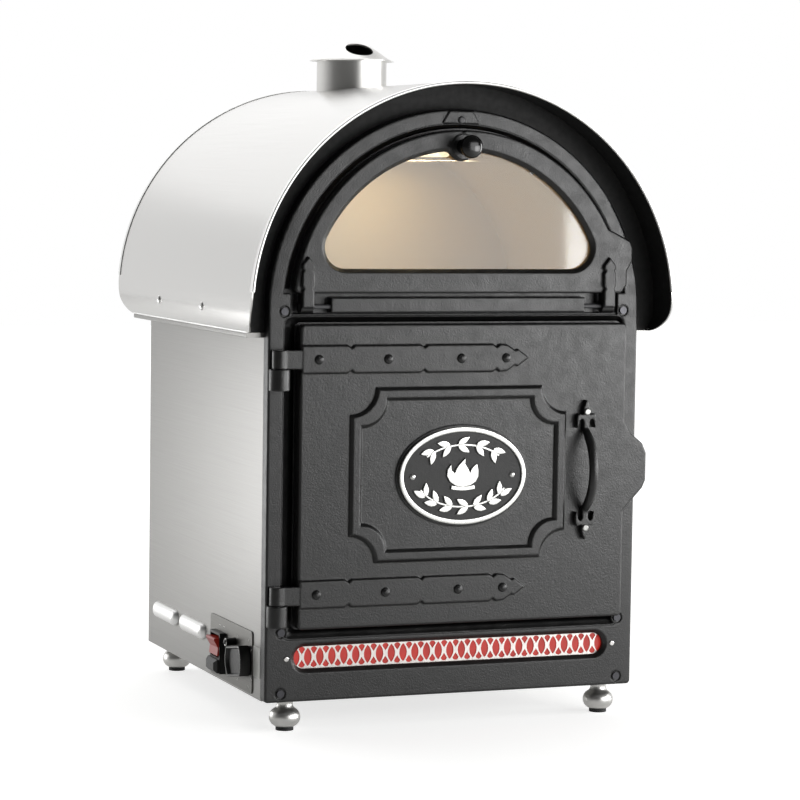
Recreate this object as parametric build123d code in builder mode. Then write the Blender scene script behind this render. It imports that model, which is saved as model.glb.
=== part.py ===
"""Countertop baked potato oven: cast front, two hinged doors, rolled canopy, flue and side controls.

Units are millimetres. X runs across the front, Y runs to the back, Z is up. The origin is on the floor,
below the middle of the oven's overall width and depth. Depths are measured from the face of the cast
front's flange, positive into the body and negative towards the cook.
"""

import os
from math import asin, atan2, cos, degrees, hypot, radians, sin, sqrt

from build123d import *

os.makedirs("parts", exist_ok=True)

# Overall sizes
cast_width = 445.0
cast_half = cast_width / 2
base_z = 34.0
spring_z = 466.0
body_depth = 450.0
sheet = 1.2
joint_gap = 0.3
running_gap = 0.05
panel_face = cast_half - 1.0

# Cast front
cast_depth = 15.0
cast_bottom_radius = 4.5
cast_edge_radius = 2.5
recess_depth = 6.0
land_depth = 3.5
display_recess_radius = cast_half - 16.0
channel_half_width = cast_half - 25.5
channel_bottom_z = spring_z - 4.0
channel_top_z = spring_z + 22.0
field_left = 17.5 - cast_half
field_right = cast_half - 16.5
field_bottom_z = base_z + 69.0
field_top_z = channel_bottom_z - 2.5
field_corner_radius = 10.0
display_mouth_radius = display_recess_radius - 20.5
display_mouth_bottom_z = spring_z + 30.0
mouth_left = field_left + 35.0
mouth_right = field_right - 24.0
mouth_bottom_z = field_bottom_z + 25.0
mouth_top_z = field_top_z - 21.5
rail_half_length = channel_half_width - 44.5
rail_height = 16.5
rail_depth = -7.0
latch_pad_height = 2.0
latch_pad_z = spring_z + cast_half - 15.5
latch_z = latch_pad_z + 3.5
catch_radius = 3.5
bolt_x = cast_half - 18.5
bolt_heights = (base_z + 9.8, field_bottom_z + 8.6, spring_z - 1.3)
bolt_ring_radius = 6.35
bolt_head_radius = 4.1
bolt_shank_radius = 3.0
magnet_x = (mouth_right + 5.0, mouth_right + 19.0)
magnet_depth = 12.0

# Display door
display_door_radius = display_recess_radius - 7.0
display_door_shift = 3.0
display_door_bottom_z = spring_z + 18.7
display_door_face = -8.0
display_door_back = 4.0
display_door_step = -1.0
display_tab_x = display_door_radius + 11.5
window_radius = display_door_radius - 23.0
window_bottom_z = spring_z + 45.5
window_corner_radius = 24.0
window_lip = 6.0
glass_thickness = 4.0
knob_z = spring_z + window_radius + 4.5
knob_reach = 30.0
knob_shank_radius = 2.5
display_hinge_depth = -2.0
display_hinge_z = spring_z + 4.0
display_pin_radius = 2.5
spear_x = channel_half_width - 16.0
spear_width = 14.0
spear_relief = 5.0
spear_bevel = 1.2
window_bevel = 4.5
door_edge_radius = 2.5

# Oven door
oven_door_left = field_left + 16.0
oven_door_right = field_right - 2.5
oven_door_bottom_z = field_bottom_z + 12.5
oven_door_top_z = field_top_z - 8.5
oven_door_face = -12.0
oven_door_step = -1.5
oven_door_back = 4.0
pan_gap = 4.0
pan_depth = 14.0
strap_heights = (oven_door_bottom_z + 39.2, oven_door_top_z - 38.0)
strap_height = 31.0
strap_relief = 4.0
strap_bevel = 1.5
strap_tip_x = oven_door_left + 270.0
strap_notches = tuple(oven_door_left + reach for reach in (58.0, 144.0, 230.6))
rivet_x = tuple(oven_door_left + reach for reach in (20.0, 101.0, 188.0, 242.0))
oven_door_mid_z = (oven_door_bottom_z + oven_door_top_z) / 2
moulding_centre = (oven_door_left + 188.0, oven_door_mid_z + 1.0)
moulding_size = (260.0, 194.0)
moulding_band = 14.0
moulding_scoop = 30.0
moulding_relief = 4.4
moulding_bevel = 3.2
badge_centre = (moulding_centre[0] + 3.0, oven_door_mid_z - 1.3)
badge_size = (153.0, 109.5)
tab_x = oven_door_right + 28.0
tab_z = oven_door_mid_z + 3.0
handle_x = oven_door_right - 51.5
handle_z = oven_door_mid_z + 2.0
handle_half_length = 79.3
handle_reach = 35.0
handle_screw_spread = 66.0
oven_hinge_x = 10.0 - cast_half
oven_hinge_depth = -10.0
oven_pin_radius = 4.0
knuckle_radius = 8.5
lug_radius = 11.5
lug_height = 23.3
knuckle_height = 20.4
lug_bottoms = tuple(strap_z - drop for strap_z, drop in zip(strap_heights, (35.0, 33.8)))

# Grille slot
slot_z = base_z + 48.3
slot_length = cast_width - 70.0
slot_height = 24.8
slot_chamfer = 4.5
grille_depth = 7.5
grille_sheet = 1.0
lens_sheet = 2.0
grille_pitch = 14.15
grille_almonds = int((slot_length + 8.0) / grille_pitch)
almond_half_width = 4.5
almond_half_height = 10.3
grille_screw_x = slot_length / 2 + 10.3
grille_screw_radius = 1.7
lamp_half_length = slot_length / 2 - 22.5
lamp_depth = 38.0
lamp_radius = 8.0

# Canopy and flue
canopy_radius = cast_half + 30.0
canopy_sheet = 1.5
canopy_front = -30.0
canopy_rear = body_depth + 39.0
canopy_bottom_z = spring_z - 25.0
canopy_curl_radius = 39.9
canopy_corner_radius = 42.0
trim_width = 5.5
trim_wrap = 0.8
trim_end_z = spring_z + 21.0
canopy_rail_height = 9.0
canopy_rail_width = 22.0
canopy_screw_depths = (0.3 * canopy_rear, 0.642 * canopy_rear)
canopy_screw_z = spring_z - 1.7
flue_depth = body_depth - 101.0
flue_radius = 42.5
flue_wall = 1.5
flue_top_z = spring_z + canopy_radius + 33.5
cap_radius = 51.3
cap_height = 22.0
cap_hole_radius = 17.0
cap_hole_offset = 23.0
cap_hole_tilt = 21.0

# Compartments
display_liner_radius = display_mouth_radius + 2.0
display_depth = flue_depth - flue_radius - 16.5
display_floor_z = display_mouth_bottom_z - 2.8
oven_depth = body_depth - 50.0
jacket_side = 26.0
jacket_top_z = spring_z - 1.0
jacket_bottom_z = mouth_bottom_z - 26.0
jacket_back = 20.0
baffle_depth = oven_depth - 48.0
fan_depth = oven_depth - 38.0
fan_radius = 75.0
shaft_radius = 4.0
shaft_hole_radius = 7.0
rack_heights = (mouth_bottom_z + 104.0, mouth_bottom_z + 204.0)
rack_depths = (34.0, baffle_depth - 14.0)
rack_wire_radius = 2.5
display_lamp_depths = (0.33 * display_depth, 0.74 * display_depth)
display_lamp_z = spring_z + display_liner_radius - 18.0

# Controls on the left side
plate_depths = (43.0, 194.0)
plate_heights = (base_z + 3.0, base_z + 73.0)
plate_thickness = 1.5
plate_face = panel_face + plate_thickness
timer_depth = 73.0
timer_z = base_z + 36.0
timer_reach = 13.0
timer_bar = (56.6, 34.0)
timer_angle = 9.5
timer_shaft_radius = 3.0
button_depth = 103.0
button_z = base_z + 53.0
button_reach = 13.5
button_radius = 4.5
rocker_depth = 156.0
rocker_z = base_z + 41.2
rocker_width = 30.0
switch_depths = (rocker_depth - 15.5, rocker_depth + 15.5)
switch_heights = (rocker_z - 13.2, rocker_z + 13.2)
louvre_space = 32.0
louvre_start = plate_depths[1] + 29.0
louvre_length = (body_depth - 40.0 - louvre_start - louvre_space) / 2
louvre_depths = tuple((start, start + louvre_length)
                      for start in (louvre_start, louvre_start + louvre_length + louvre_space))
louvre_z = base_z + 46.0
louvre_height = 18.0
louvre_relief = 7.0

# Supply inlet at the back
inlet_x = 150.0
inlet_z = base_z + 30.0
inlet_radius = 4.5

# Feet
foot_x = cast_half - 30.9
foot_depths = (20.6, body_depth - 23.4)
foot_radius = 17.5
pad_height = 4.0
stud_radius = 3.0

# Derived places
handle_front = oven_door_face - handle_reach
front_y = -(handle_front + canopy_rear + trim_wrap) / 2
oven_hinge_y = front_y + oven_hinge_depth
display_hinge_y = front_y + display_hinge_depth
mouth_x = (mouth_left + mouth_right) / 2
mouth_z = (mouth_bottom_z + mouth_top_z) / 2


def front(depth):
    """Plane facing the cook at a depth behind the flange's face."""
    return Plane.XZ.offset(-(front_y + depth))


def side(x):
    """Plane across the oven at x, facing +X, with Y to its right and Z up."""
    return Plane.YZ.offset(x)


def left_side(x):
    """Plane at -x facing outward on the left, drawn with the same Y and Z."""
    return Plane(origin=(-x, 0, 0), x_dir=(0, 1, 0), z_dir=(1, 0, 0))


def save(builder, name):
    """Label a finished piece and write its STEP."""
    builder.part.label = name
    export_step(builder.part, f"parts/{name}.step")


def arch(half_width, bottom):
    """Upright sides from the bottom line to the spring line, then a half-round head."""
    half_round(half_width, spring_z)
    with Locations((0, (bottom + spring_z) / 2)):
        Rectangle(2 * half_width, spring_z - bottom)


def half_round(radius, bottom, centre_x=0.0):
    """Circle about the spring line, cut off level at a bottom line above it."""
    with Locations((centre_x, spring_z)):
        Circle(radius)
    with Locations((centre_x, bottom)):
        Rectangle(2.2 * radius, 2 * radius, align=(Align.CENTER, Align.MAX), mode=Mode.SUBTRACT)


def block(x_range, depth_range, z_range, mode=Mode.ADD):
    """Rectangular block between limits across, in depth and in height."""
    with BuildSketch(front(depth_range[1])) as profile:
        with Locations((sum(x_range) / 2, sum(z_range) / 2)):
            Rectangle(x_range[1] - x_range[0], z_range[1] - z_range[0])
    extrude(profile.sketch, amount=depth_range[1] - depth_range[0], mode=mode)


def rod(x, depth_range, z, radius, mode=Mode.ADD):
    """Round bar or hole along the depth of the oven."""
    with BuildSketch(front(depth_range[1])) as profile:
        with Locations((x, z)):
            Circle(radius)
    extrude(profile.sketch, amount=depth_range[1] - depth_range[0], mode=mode)


def cross_rod(x_range, depth, z, radius, mode=Mode.ADD):
    """Round bar or hole across the oven."""
    with BuildSketch(side(x_range[0])) as profile:
        with Locations((front_y + depth, z)):
            Circle(radius)
    extrude(profile.sketch, amount=x_range[1] - x_range[0], mode=mode)


def post(x, depth, z_range, radius, mode=Mode.ADD):
    """Upright round bar or hole."""
    with BuildSketch(Plane.XY.offset(z_range[0])) as profile:
        with Locations((x, front_y + depth)):
            Circle(radius)
    extrude(profile.sketch, amount=z_range[1] - z_range[0], mode=mode)


# ---------------------------------------------------------------- cast front


with BuildPart() as front_frame:
    with BuildSketch(front(cast_depth)) as outline:
        arch(cast_half, base_z)
        fillet(outline.vertices().group_by(Axis.Y)[0], cast_bottom_radius)
    extrude(amount=cast_depth)
    fillet(front_frame.faces().sort_by(Axis.Y)[0].edges(), cast_edge_radius)
    # recess behind the display door
    with BuildSketch(front(recess_depth)):
        half_round(display_recess_radius, channel_top_z - 4)
    extrude(amount=recess_depth, mode=Mode.SUBTRACT)
    # channel for the rail and the spear lugs
    with BuildSketch(front(recess_depth)) as channel:
        with Locations((0, (channel_bottom_z + channel_top_z) / 2)):
            Rectangle(2 * channel_half_width, channel_top_z - channel_bottom_z)
        fillet(channel.vertices().group_by(Axis.Y)[0], 3)
    extrude(amount=recess_depth, mode=Mode.SUBTRACT)
    # field behind the oven door, rounded and kept clear of the middle bolts
    with BuildSketch(front(recess_depth)) as field:
        with Locations(((field_left + field_right) / 2, (field_bottom_z + field_top_z) / 2)):
            Rectangle(field_right - field_left, field_top_z - field_bottom_z)
        fillet(field.vertices(), field_corner_radius)
        with Locations(*[(side_x, bolt_heights[1]) for side_x in (-bolt_x, bolt_x)]):
            Circle(bolt_ring_radius + 0.6, mode=Mode.SUBTRACT)
    extrude(amount=recess_depth, mode=Mode.SUBTRACT)
    # the land between channel and field stands back from the flange
    block((-channel_half_width, channel_half_width), (0, land_depth), (field_top_z - 1, channel_bottom_z + 1),
          Mode.SUBTRACT)
    # pockets that the spear lugs swing in
    for lug_x in (-spear_x, spear_x):
        block((lug_x - spear_width / 2 - 4, lug_x + spear_width / 2 + 4), (recess_depth, 13), (channel_bottom_z, channel_top_z), Mode.SUBTRACT)
    # mouths of both compartments
    with BuildSketch(front(cast_depth)):
        half_round(display_mouth_radius, display_mouth_bottom_z)
    extrude(amount=cast_depth, mode=Mode.SUBTRACT)
    block((mouth_left, mouth_right), (0, cast_depth), (mouth_bottom_z, mouth_top_z), Mode.SUBTRACT)
    # cross rail
    with BuildSketch(front(recess_depth)) as rail_outline:
        with Locations((0, display_hinge_z + 1.8)):
            Rectangle(2 * rail_half_length, rail_height)
    extrude(amount=recess_depth - rail_depth)
    fillet(front_frame.faces().sort_by(Axis.Y)[0].edges(), 1.5)
    cross_rod((-spear_x - spear_width / 2 - 4, spear_x + spear_width / 2 + 4), display_hinge_depth, display_hinge_z,
              display_pin_radius + running_gap, Mode.SUBTRACT)
    # grille slot, flared to the front, with its seat behind
    with BuildSketch(front(cast_depth)):
        with Locations((0, slot_z)):
            SlotOverall(slot_length, slot_height)
    extrude(amount=cast_depth, mode=Mode.SUBTRACT)
    with BuildSketch(front(slot_chamfer)):
        with Locations((0, slot_z)):
            SlotOverall(slot_length, slot_height)
    extrude(amount=slot_chamfer, taper=-45, mode=Mode.SUBTRACT)
    block((-grille_screw_x - 8, grille_screw_x + 8), (grille_depth, cast_depth), (slot_z - 18, slot_z + 18),
          Mode.SUBTRACT)
    for screw_x in (-grille_screw_x, grille_screw_x):
        rod(screw_x, (0, grille_depth), slot_z, grille_screw_radius, Mode.SUBTRACT)
    # latch pad above the display door
    with BuildSketch(front(0)) as pad_outline:
        with BuildLine():
            Polyline((-22, latch_pad_z), (22, latch_pad_z), (14, latch_pad_z + 13), (-14, latch_pad_z + 13),
                     close=True)
        make_face()
        fillet(pad_outline.vertices().group_by(Axis.Y)[-1], 3)
    extrude(amount=latch_pad_height)
    rod(0, (-latch_pad_height, 10), latch_z, catch_radius, Mode.SUBTRACT)
    # bolt seats
    for side_x in (-bolt_x, bolt_x):
        for bolt_z in bolt_heights:
            rod(side_x, (0, 1.5), bolt_z, bolt_ring_radius, Mode.SUBTRACT)
            rod(side_x, (1.5, cast_depth), bolt_z, bolt_shank_radius, Mode.SUBTRACT)
    # hinge lugs for the oven door
    for lug_z in lug_bottoms:
        with BuildSketch(Plane.XY.offset(lug_z)):
            with Locations((oven_hinge_x, oven_hinge_y)):
                Circle(lug_radius)
            with Locations((oven_hinge_x + 0.5, front_y + oven_hinge_depth / 2)):
                Rectangle(2 * lug_radius - 4, -oven_hinge_depth)
        extrude(amount=lug_height)
        post(oven_hinge_x, oven_hinge_depth, (lug_z, lug_z + lug_height), oven_pin_radius, Mode.SUBTRACT)
    # pocket for the catch magnet in the step on the right
    block(magnet_x, (recess_depth, magnet_depth), (handle_z - 30, handle_z + 26), Mode.SUBTRACT)
save(front_frame, "front_frame")

with BuildPart() as frame_bolts:
    for side_x in (-bolt_x, bolt_x):
        for bolt_z in bolt_heights:
            rod(side_x, (-0.8, 1.5), bolt_z, bolt_head_radius)
            rod(side_x, (1.5, cast_depth), bolt_z, bolt_shank_radius)
save(frame_bolts, "frame_bolts")

with BuildPart() as door_catches:
    # nub over the display door
    rod(0, (-latch_pad_height, 10), latch_z, catch_radius)
    rod(0, (-latch_pad_height - 2.2, -latch_pad_height), latch_z, catch_radius + 0.5)
    fillet(door_catches.faces().sort_by(Axis.Y)[0].edges(), 2)
    # magnet behind the oven door's free edge
    block(magnet_x, (recess_depth, magnet_depth), (handle_z - 30, handle_z + 26))
save(door_catches, "door_catches")

# ---------------------------------------------------------------- grille and glow lamp


with BuildPart() as grille:
    block((-grille_screw_x - 7, grille_screw_x + 7), (grille_depth, grille_depth + grille_sheet),
          (slot_z - 17, slot_z + 17))
    with BuildSketch(front(grille_depth + grille_sheet)):
        for index in range(grille_almonds):
            across = (index - (grille_almonds - 1) / 2) * grille_pitch
            with BuildLine():
                ThreePointArc((across, slot_z - almond_half_height), (across + almond_half_width, slot_z),
                              (across, slot_z + almond_half_height))
                ThreePointArc((across, slot_z + almond_half_height), (across - almond_half_width, slot_z),
                              (across, slot_z - almond_half_height))
            make_face()
        for index in range(grille_almonds - 1):
            across = (index - grille_almonds / 2 + 1) * grille_pitch
            for flip in (-1, 1):
                with BuildLine():
                    Line((across, slot_z + flip * 3), (across + 3.8, slot_z + flip * 8.6))
                    ThreePointArc((across + 3.8, slot_z + flip * 8.6), (across, slot_z + flip * 11.6),
                                  (across - 3.8, slot_z + flip * 8.6))
                    Line((across - 3.8, slot_z + flip * 8.6), (across, slot_z + flip * 3))
                make_face()
    extrude(amount=grille_sheet, mode=Mode.SUBTRACT)
    for screw_x in (-grille_screw_x, grille_screw_x):
        rod(screw_x, (grille_depth, grille_depth + grille_sheet), slot_z, grille_screw_radius, Mode.SUBTRACT)
save(grille, "grille")

with BuildPart() as grille_screws:
    for screw_x in (-grille_screw_x, grille_screw_x):
        rod(screw_x, (-1.6, 0), slot_z, 3.1)
        rod(screw_x, (0, grille_depth + grille_sheet), slot_z, grille_screw_radius)
    fillet(grille_screws.faces().group_by(Axis.Y)[0].edges(), 1.2)
save(grille_screws, "grille_screws")

with BuildPart() as glow_lens:
    lens_front = grille_depth + grille_sheet
    block((-grille_screw_x - 6, grille_screw_x + 6), (lens_front, lens_front + lens_sheet), (slot_z - 17, slot_z + 17))
save(glow_lens, "glow_lens")

with BuildPart() as glow_lamp:
    cross_rod((-lamp_half_length, lamp_half_length), lamp_depth, slot_z, lamp_radius)
save(glow_lamp, "glow_lamp")

# ---------------------------------------------------------------- display door


with BuildPart() as display_door:
    # face layer with the finger tab on the right
    with BuildSketch(front(display_door_step)):
        with BuildSketch() as tab:
            with BuildLine():
                Polyline(*[(display_tab_x - inward, display_door_bottom_z + up) for inward, up in (
                    (61, 85.3), (21, 68.3), (3, 59.3), (0, 51.3), (0, 36.3), (6.5, 25.3), (6.5, 9.3), (14, 0),
                    (61, 0))], close=True)
            make_face()
            fillet(tab.vertices().filter_by_position(Axis.X, display_tab_x - 16, display_tab_x + 1), 3)
        with BuildSketch() as disc:
            half_round(display_door_radius, display_door_bottom_z, display_door_shift)
            fillet(disc.vertices().group_by(Axis.Y)[0], 6)
    extrude(amount=display_door_step - display_door_face)
    fillet(display_door.faces().sort_by(Axis.Y)[0].edges(), door_edge_radius)
    # back layer that drops into the recess
    with BuildSketch(front(display_door_back)) as disc_back:
        half_round(display_door_radius, display_door_bottom_z, display_door_shift)
        fillet(disc_back.vertices().group_by(Axis.Y)[0], 6)
    extrude(amount=display_door_back - display_door_step)
    # window with a lobe left for the knob
    with BuildSketch(front(display_door_back)) as window:
        half_round(window_radius, window_bottom_z)
        fillet(window.vertices().group_by(Axis.Y)[0], window_corner_radius)
        with Locations((0, knob_z)):
            Circle(16, mode=Mode.SUBTRACT)
        fillet(window.vertices().filter_by_position(Axis.Y, knob_z - 16, window_radius + spring_z)
               .filter_by_position(Axis.X, -20, 20), 9)
    extrude(amount=display_door_back - display_door_face, mode=Mode.SUBTRACT)
    chamfer(display_door.faces().sort_by(Axis.Y)[0].inner_wires().sort_by(SortBy.LENGTH)[-1].edges(), window_bevel)
    # raised boss under the knob
    rod(0, (display_door_face - 2, display_door_face), knob_z, 14)
    # seat for the glass in the back
    with BuildSketch(front(display_door_back)):
        half_round(window_radius + window_lip, window_bottom_z - window_lip)
    extrude(amount=glass_thickness, mode=Mode.SUBTRACT)
    # notch for the catch
    rod(0.5, (display_door_face, -1), display_door_radius + spring_z + 2, 4.5, Mode.SUBTRACT)
    # spear straps and the lugs below the door
    for flip in (-1, 1):
        with BuildSketch(front(display_door_face)):
            with BuildLine():
                Polyline(*[(flip * spear_x + across, display_hinge_z + up) for across, up in (
                    (-7, -1), (-7, 17), (-5.4, 19.5), (-7.4, 23), (-7.4, 37), (-5.4, 40), (-7.4, 42.5), (-7, 46.5),
                    (0, 55), (7, 46.5), (7.4, 42.5), (5.4, 40), (7.4, 37), (7.4, 23), (5.4, 19.5), (7, 17),
                    (7, -1))], close=True)
            make_face()
        extrude(amount=spear_relief)
    chamfer(display_door.faces().group_by(Axis.Y)[0].edges(), spear_bevel)
    for flip in (-1, 1):
        with BuildSketch(side(flip * spear_x - spear_width / 2)):
            with Locations((display_hinge_y, display_hinge_z)):
                Circle(7.5)
            with Locations((front_y - 3, (display_hinge_z + display_door_bottom_z) / 2 + 0.5)):
                Rectangle(12, display_door_bottom_z - display_hinge_z + 1)
        extrude(amount=spear_width)
    cross_rod((-spear_x - spear_width, spear_x + spear_width), display_hinge_depth, display_hinge_z,
              display_pin_radius + running_gap, Mode.SUBTRACT)
    rod(0, (display_door_face - 2, display_door_back), knob_z, knob_shank_radius, Mode.SUBTRACT)
save(display_door, "display_door")

with BuildPart() as display_glass:
    with BuildSketch(front(display_door_back)):
        half_round(window_radius + window_lip - 0.5, window_bottom_z - window_lip + 0.5)
        with Locations((0, knob_z)):
            Circle(3.5, mode=Mode.SUBTRACT)
    extrude(amount=glass_thickness)
save(display_glass, "display_glass")

with BuildPart() as glass_clips:
    for angle in (20, 60, 120, 160):
        clip_x = (window_radius + window_lip) * cos(radians(angle))
        clip_z = spring_z + (window_radius + window_lip) * sin(radians(angle))
        with BuildSketch(front(display_door_back + 1.5)):
            with Locations((clip_x, clip_z)):
                Rectangle(14, 5, rotation=angle)
        extrude(amount=1.5)
    for clip_x in (-window_radius / 2, window_radius / 2):
        block((clip_x - 7, clip_x + 7), (display_door_back, display_door_back + 1.5),
              (window_bottom_z - 9.5, window_bottom_z - 1.5))
save(glass_clips, "glass_clips")

with BuildPart() as display_knob:
    with BuildSketch(Plane.YZ):
        with BuildLine():
            knob_face = front_y + display_door_face - knob_reach
            knob_base = front_y + display_door_face - 2
            Line((knob_base, knob_z), (knob_base, knob_z + 9))
            ThreePointArc((knob_base, knob_z + 9), (knob_base - 6, knob_z + 6.6), (knob_face + 12, knob_z + 8))
            ThreePointArc((knob_face + 12, knob_z + 8), (knob_face + 6, knob_z + 13), (knob_face + 1.5, knob_z + 10))
            Polyline((knob_face + 1.5, knob_z + 10), (knob_face, knob_z + 6), (knob_face, knob_z),
                     (knob_base, knob_z))
        make_face()
    revolve(axis=Axis((0, 0, knob_z), (0, 1, 0)))
    rod(0, (display_door_face - 3, display_door_back + 2), knob_z, knob_shank_radius)
    rod(0, (display_door_back, display_door_back + 2), knob_z, knob_shank_radius + 1.5)
save(display_knob, "display_knob")

with BuildPart() as display_hinge_pins:
    for flip in (-1, 1):
        start, end = sorted((flip * (rail_half_length - 14), flip * (spear_x + spear_width / 2)))
        cross_rod((start, end), display_hinge_depth, display_hinge_z, display_pin_radius)
save(display_hinge_pins, "display_hinge_pins")

# ---------------------------------------------------------------- oven door


def strap_outline(centre_z):
    """Strap with paired notches and a spear end, from the knuckle side to its tip."""
    half = strap_height / 2
    upper = [(oven_door_left, half)]
    for notch in strap_notches:
        upper += [(notch - 4, half), (notch, half - 3.2), (notch + 4, half)]
    upper += [(strap_tip_x - 26, half - 1), (strap_tip_x - 17, half - 7), (strap_tip_x - 13, half - 6)]
    lower = [(across, -up) for across, up in reversed(upper)]
    with BuildLine() as outline:
        Polyline(*[(across, centre_z + up) for across, up in upper + [(strap_tip_x, 0)] + lower], close=True)
    make_face(outline.edges())


def scooped(width, height):
    """Rectangle whose corners are scooped out by quarter circles."""
    with Locations(moulding_centre):
        Rectangle(width, height)
        with GridLocations(width, height, 2, 2):
            Circle(moulding_scoop, mode=Mode.SUBTRACT)


def oven_door_outline():
    """Face outline with the wide finger tab on the right."""
    with BuildLine() as outline:
        Polyline((oven_door_left, oven_door_bottom_z), (oven_door_right, oven_door_bottom_z),
                 (oven_door_right, tab_z - 50), (tab_x - 17, tab_z - 38), (tab_x - 4, tab_z - 24),
                 (tab_x, tab_z - 15), (tab_x, tab_z + 16), (tab_x - 5, tab_z + 27), (tab_x - 21, tab_z + 40),
                 (oven_door_right, tab_z + 51), (oven_door_right, oven_door_top_z),
                 (oven_door_left, oven_door_top_z), close=True)
    make_face(outline.edges())


with BuildPart() as oven_door:
    with BuildSketch(front(oven_door_step)) as door_outline:
        oven_door_outline()
        fillet(door_outline.vertices(), 5)
    extrude(amount=oven_door_step - oven_door_face)
    fillet(oven_door.faces().sort_by(Axis.Y)[0].edges(), door_edge_radius)
    with BuildSketch(front(oven_door_back)) as back_outline:
        with Locations(((oven_door_left + oven_door_right) / 2, (oven_door_bottom_z + oven_door_top_z) / 2)):
            Rectangle(oven_door_right - oven_door_left, oven_door_top_z - oven_door_bottom_z)
        fillet(back_outline.vertices(), 10)
    extrude(amount=oven_door_back - oven_door_step)
    block((mouth_left + pan_gap - 1, mouth_right - pan_gap + 1), (-oven_door_back, oven_door_back),
          (mouth_bottom_z + pan_gap - 1, mouth_top_z - pan_gap + 1), Mode.SUBTRACT)
    # straps with rivet bosses
    for strap_z in strap_heights:
        with BuildSketch(front(oven_door_face)):
            strap_outline(strap_z)
        extrude(amount=strap_relief)
    chamfer(oven_door.faces().group_by(Axis.Y)[0].edges(), strap_bevel)
    for strap_z in strap_heights:
        for boss_x in rivet_x:
            rod(boss_x, (oven_door_face - strap_relief - 1.2, oven_door_face - strap_relief), strap_z, 4.5)
    # scooped moulding round the badge
    with BuildSketch(front(oven_door_face)):
        scooped(*moulding_size)
        inner_size = (moulding_size[0] - 2 * moulding_band, moulding_size[1] - 2 * moulding_band)
        with BuildSketch(mode=Mode.SUBTRACT):
            scooped(*inner_size)
    extrude(amount=moulding_relief)
    chamfer(oven_door.faces().filter_by(Plane.XZ).sort_by(
        lambda face: abs(face.center().Y - front_y - oven_door_face + moulding_relief))[0].edges(), moulding_bevel)
    # badge seat
    with BuildSketch(front(oven_door_face)):
        with Locations(badge_centre):
            Ellipse(badge_size[0] / 2 + 2, badge_size[1] / 2 + 2)
    extrude(amount=1.5)
    # knuckles and their necks
    for lug_z in lug_bottoms:
        low = lug_z + lug_height + joint_gap
        with BuildSketch(Plane.XY.offset(low)):
            with Locations((oven_hinge_x, oven_hinge_y)):
                Circle(knuckle_radius)
            with Locations(((oven_hinge_x + oven_door_left) / 2 + 1, oven_hinge_y)):
                Rectangle(oven_door_left - oven_hinge_x + 2, 11)
        extrude(amount=knuckle_height)
        post(oven_hinge_x, oven_hinge_depth, (low, low + knuckle_height), oven_pin_radius + running_gap,
             Mode.SUBTRACT)
    # screw holes for the handle
    for screw_z in (handle_z - handle_screw_spread, handle_z + handle_screw_spread):
        rod(handle_x, (oven_door_face, -6), screw_z, 2.2, Mode.SUBTRACT)
save(oven_door, "oven_door")

with BuildPart() as oven_door_pan:
    pan_x = (mouth_left + pan_gap, mouth_right - pan_gap)
    pan_z = (mouth_bottom_z + pan_gap, mouth_top_z - pan_gap)
    block(pan_x, (-oven_door_back, pan_depth), pan_z)
    block((pan_x[0] + 1.5, pan_x[1] - 1.5), (-oven_door_back, pan_depth - 1.5), (pan_z[0] + 1.5, pan_z[1] - 1.5),
          Mode.SUBTRACT)
save(oven_door_pan, "oven_door_pan")

with BuildPart() as oven_door_gasket:
    gasket_x = (mouth_left - 8, mouth_right + 8)
    gasket_z = (mouth_bottom_z - 7, mouth_top_z + 7)
    block(gasket_x, (oven_door_back, recess_depth - joint_gap), gasket_z)
    block((gasket_x[0] + 6, gasket_x[1] - 6), (oven_door_back, recess_depth - joint_gap),
          (gasket_z[0] + 6, gasket_z[1] - 6), Mode.SUBTRACT)
save(oven_door_gasket, "oven_door_gasket")

with BuildPart() as badge:
    badge_face = oven_door_face - 1.5
    with BuildSketch(front(badge_face)):
        with Locations(badge_centre):
            Ellipse(badge_size[0] / 2, badge_size[1] / 2)
    extrude(amount=3)
    with BuildSketch(front(badge_face - 3)):
        with Locations(badge_centre):
            Ellipse(badge_size[0] / 2, badge_size[1] / 2)
            Ellipse(badge_size[0] / 2 - 5.5, badge_size[1] / 2 - 5.5, mode=Mode.SUBTRACT)
    extrude(amount=2)
    for dot_x in (-56, 56):
        rod(badge_centre[0] + dot_x, (badge_face - 4.5, badge_face - 3), badge_centre[1], 2.6)
save(badge, "badge")


def handle_end(flip):
    """Fleur at one end of the pull: stem, leaf point and two curled arms."""
    def up(distance):
        return handle_z + flip * distance

    with BuildSketch(front(oven_door_face)) as fleur:
        with BuildLine():
            Polyline((handle_x - 3.5, up(40)), (handle_x - 4.5, up(56)), (handle_x - 6.5, up(64)),
                     (handle_x, up(handle_half_length)), (handle_x + 6.5, up(64)), (handle_x + 4.5, up(56)),
                     (handle_x + 3.5, up(40)), close=True)
        make_face()
        with Locations((handle_x - 8.5, up(52)), (handle_x + 8.5, up(52))):
            Circle(6.5)
        with Locations((handle_x - 7.5, up(46)), (handle_x + 7.5, up(46))):
            Rectangle(6, 12, mode=Mode.SUBTRACT)
    extrude(fleur.sketch, amount=8)


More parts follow.
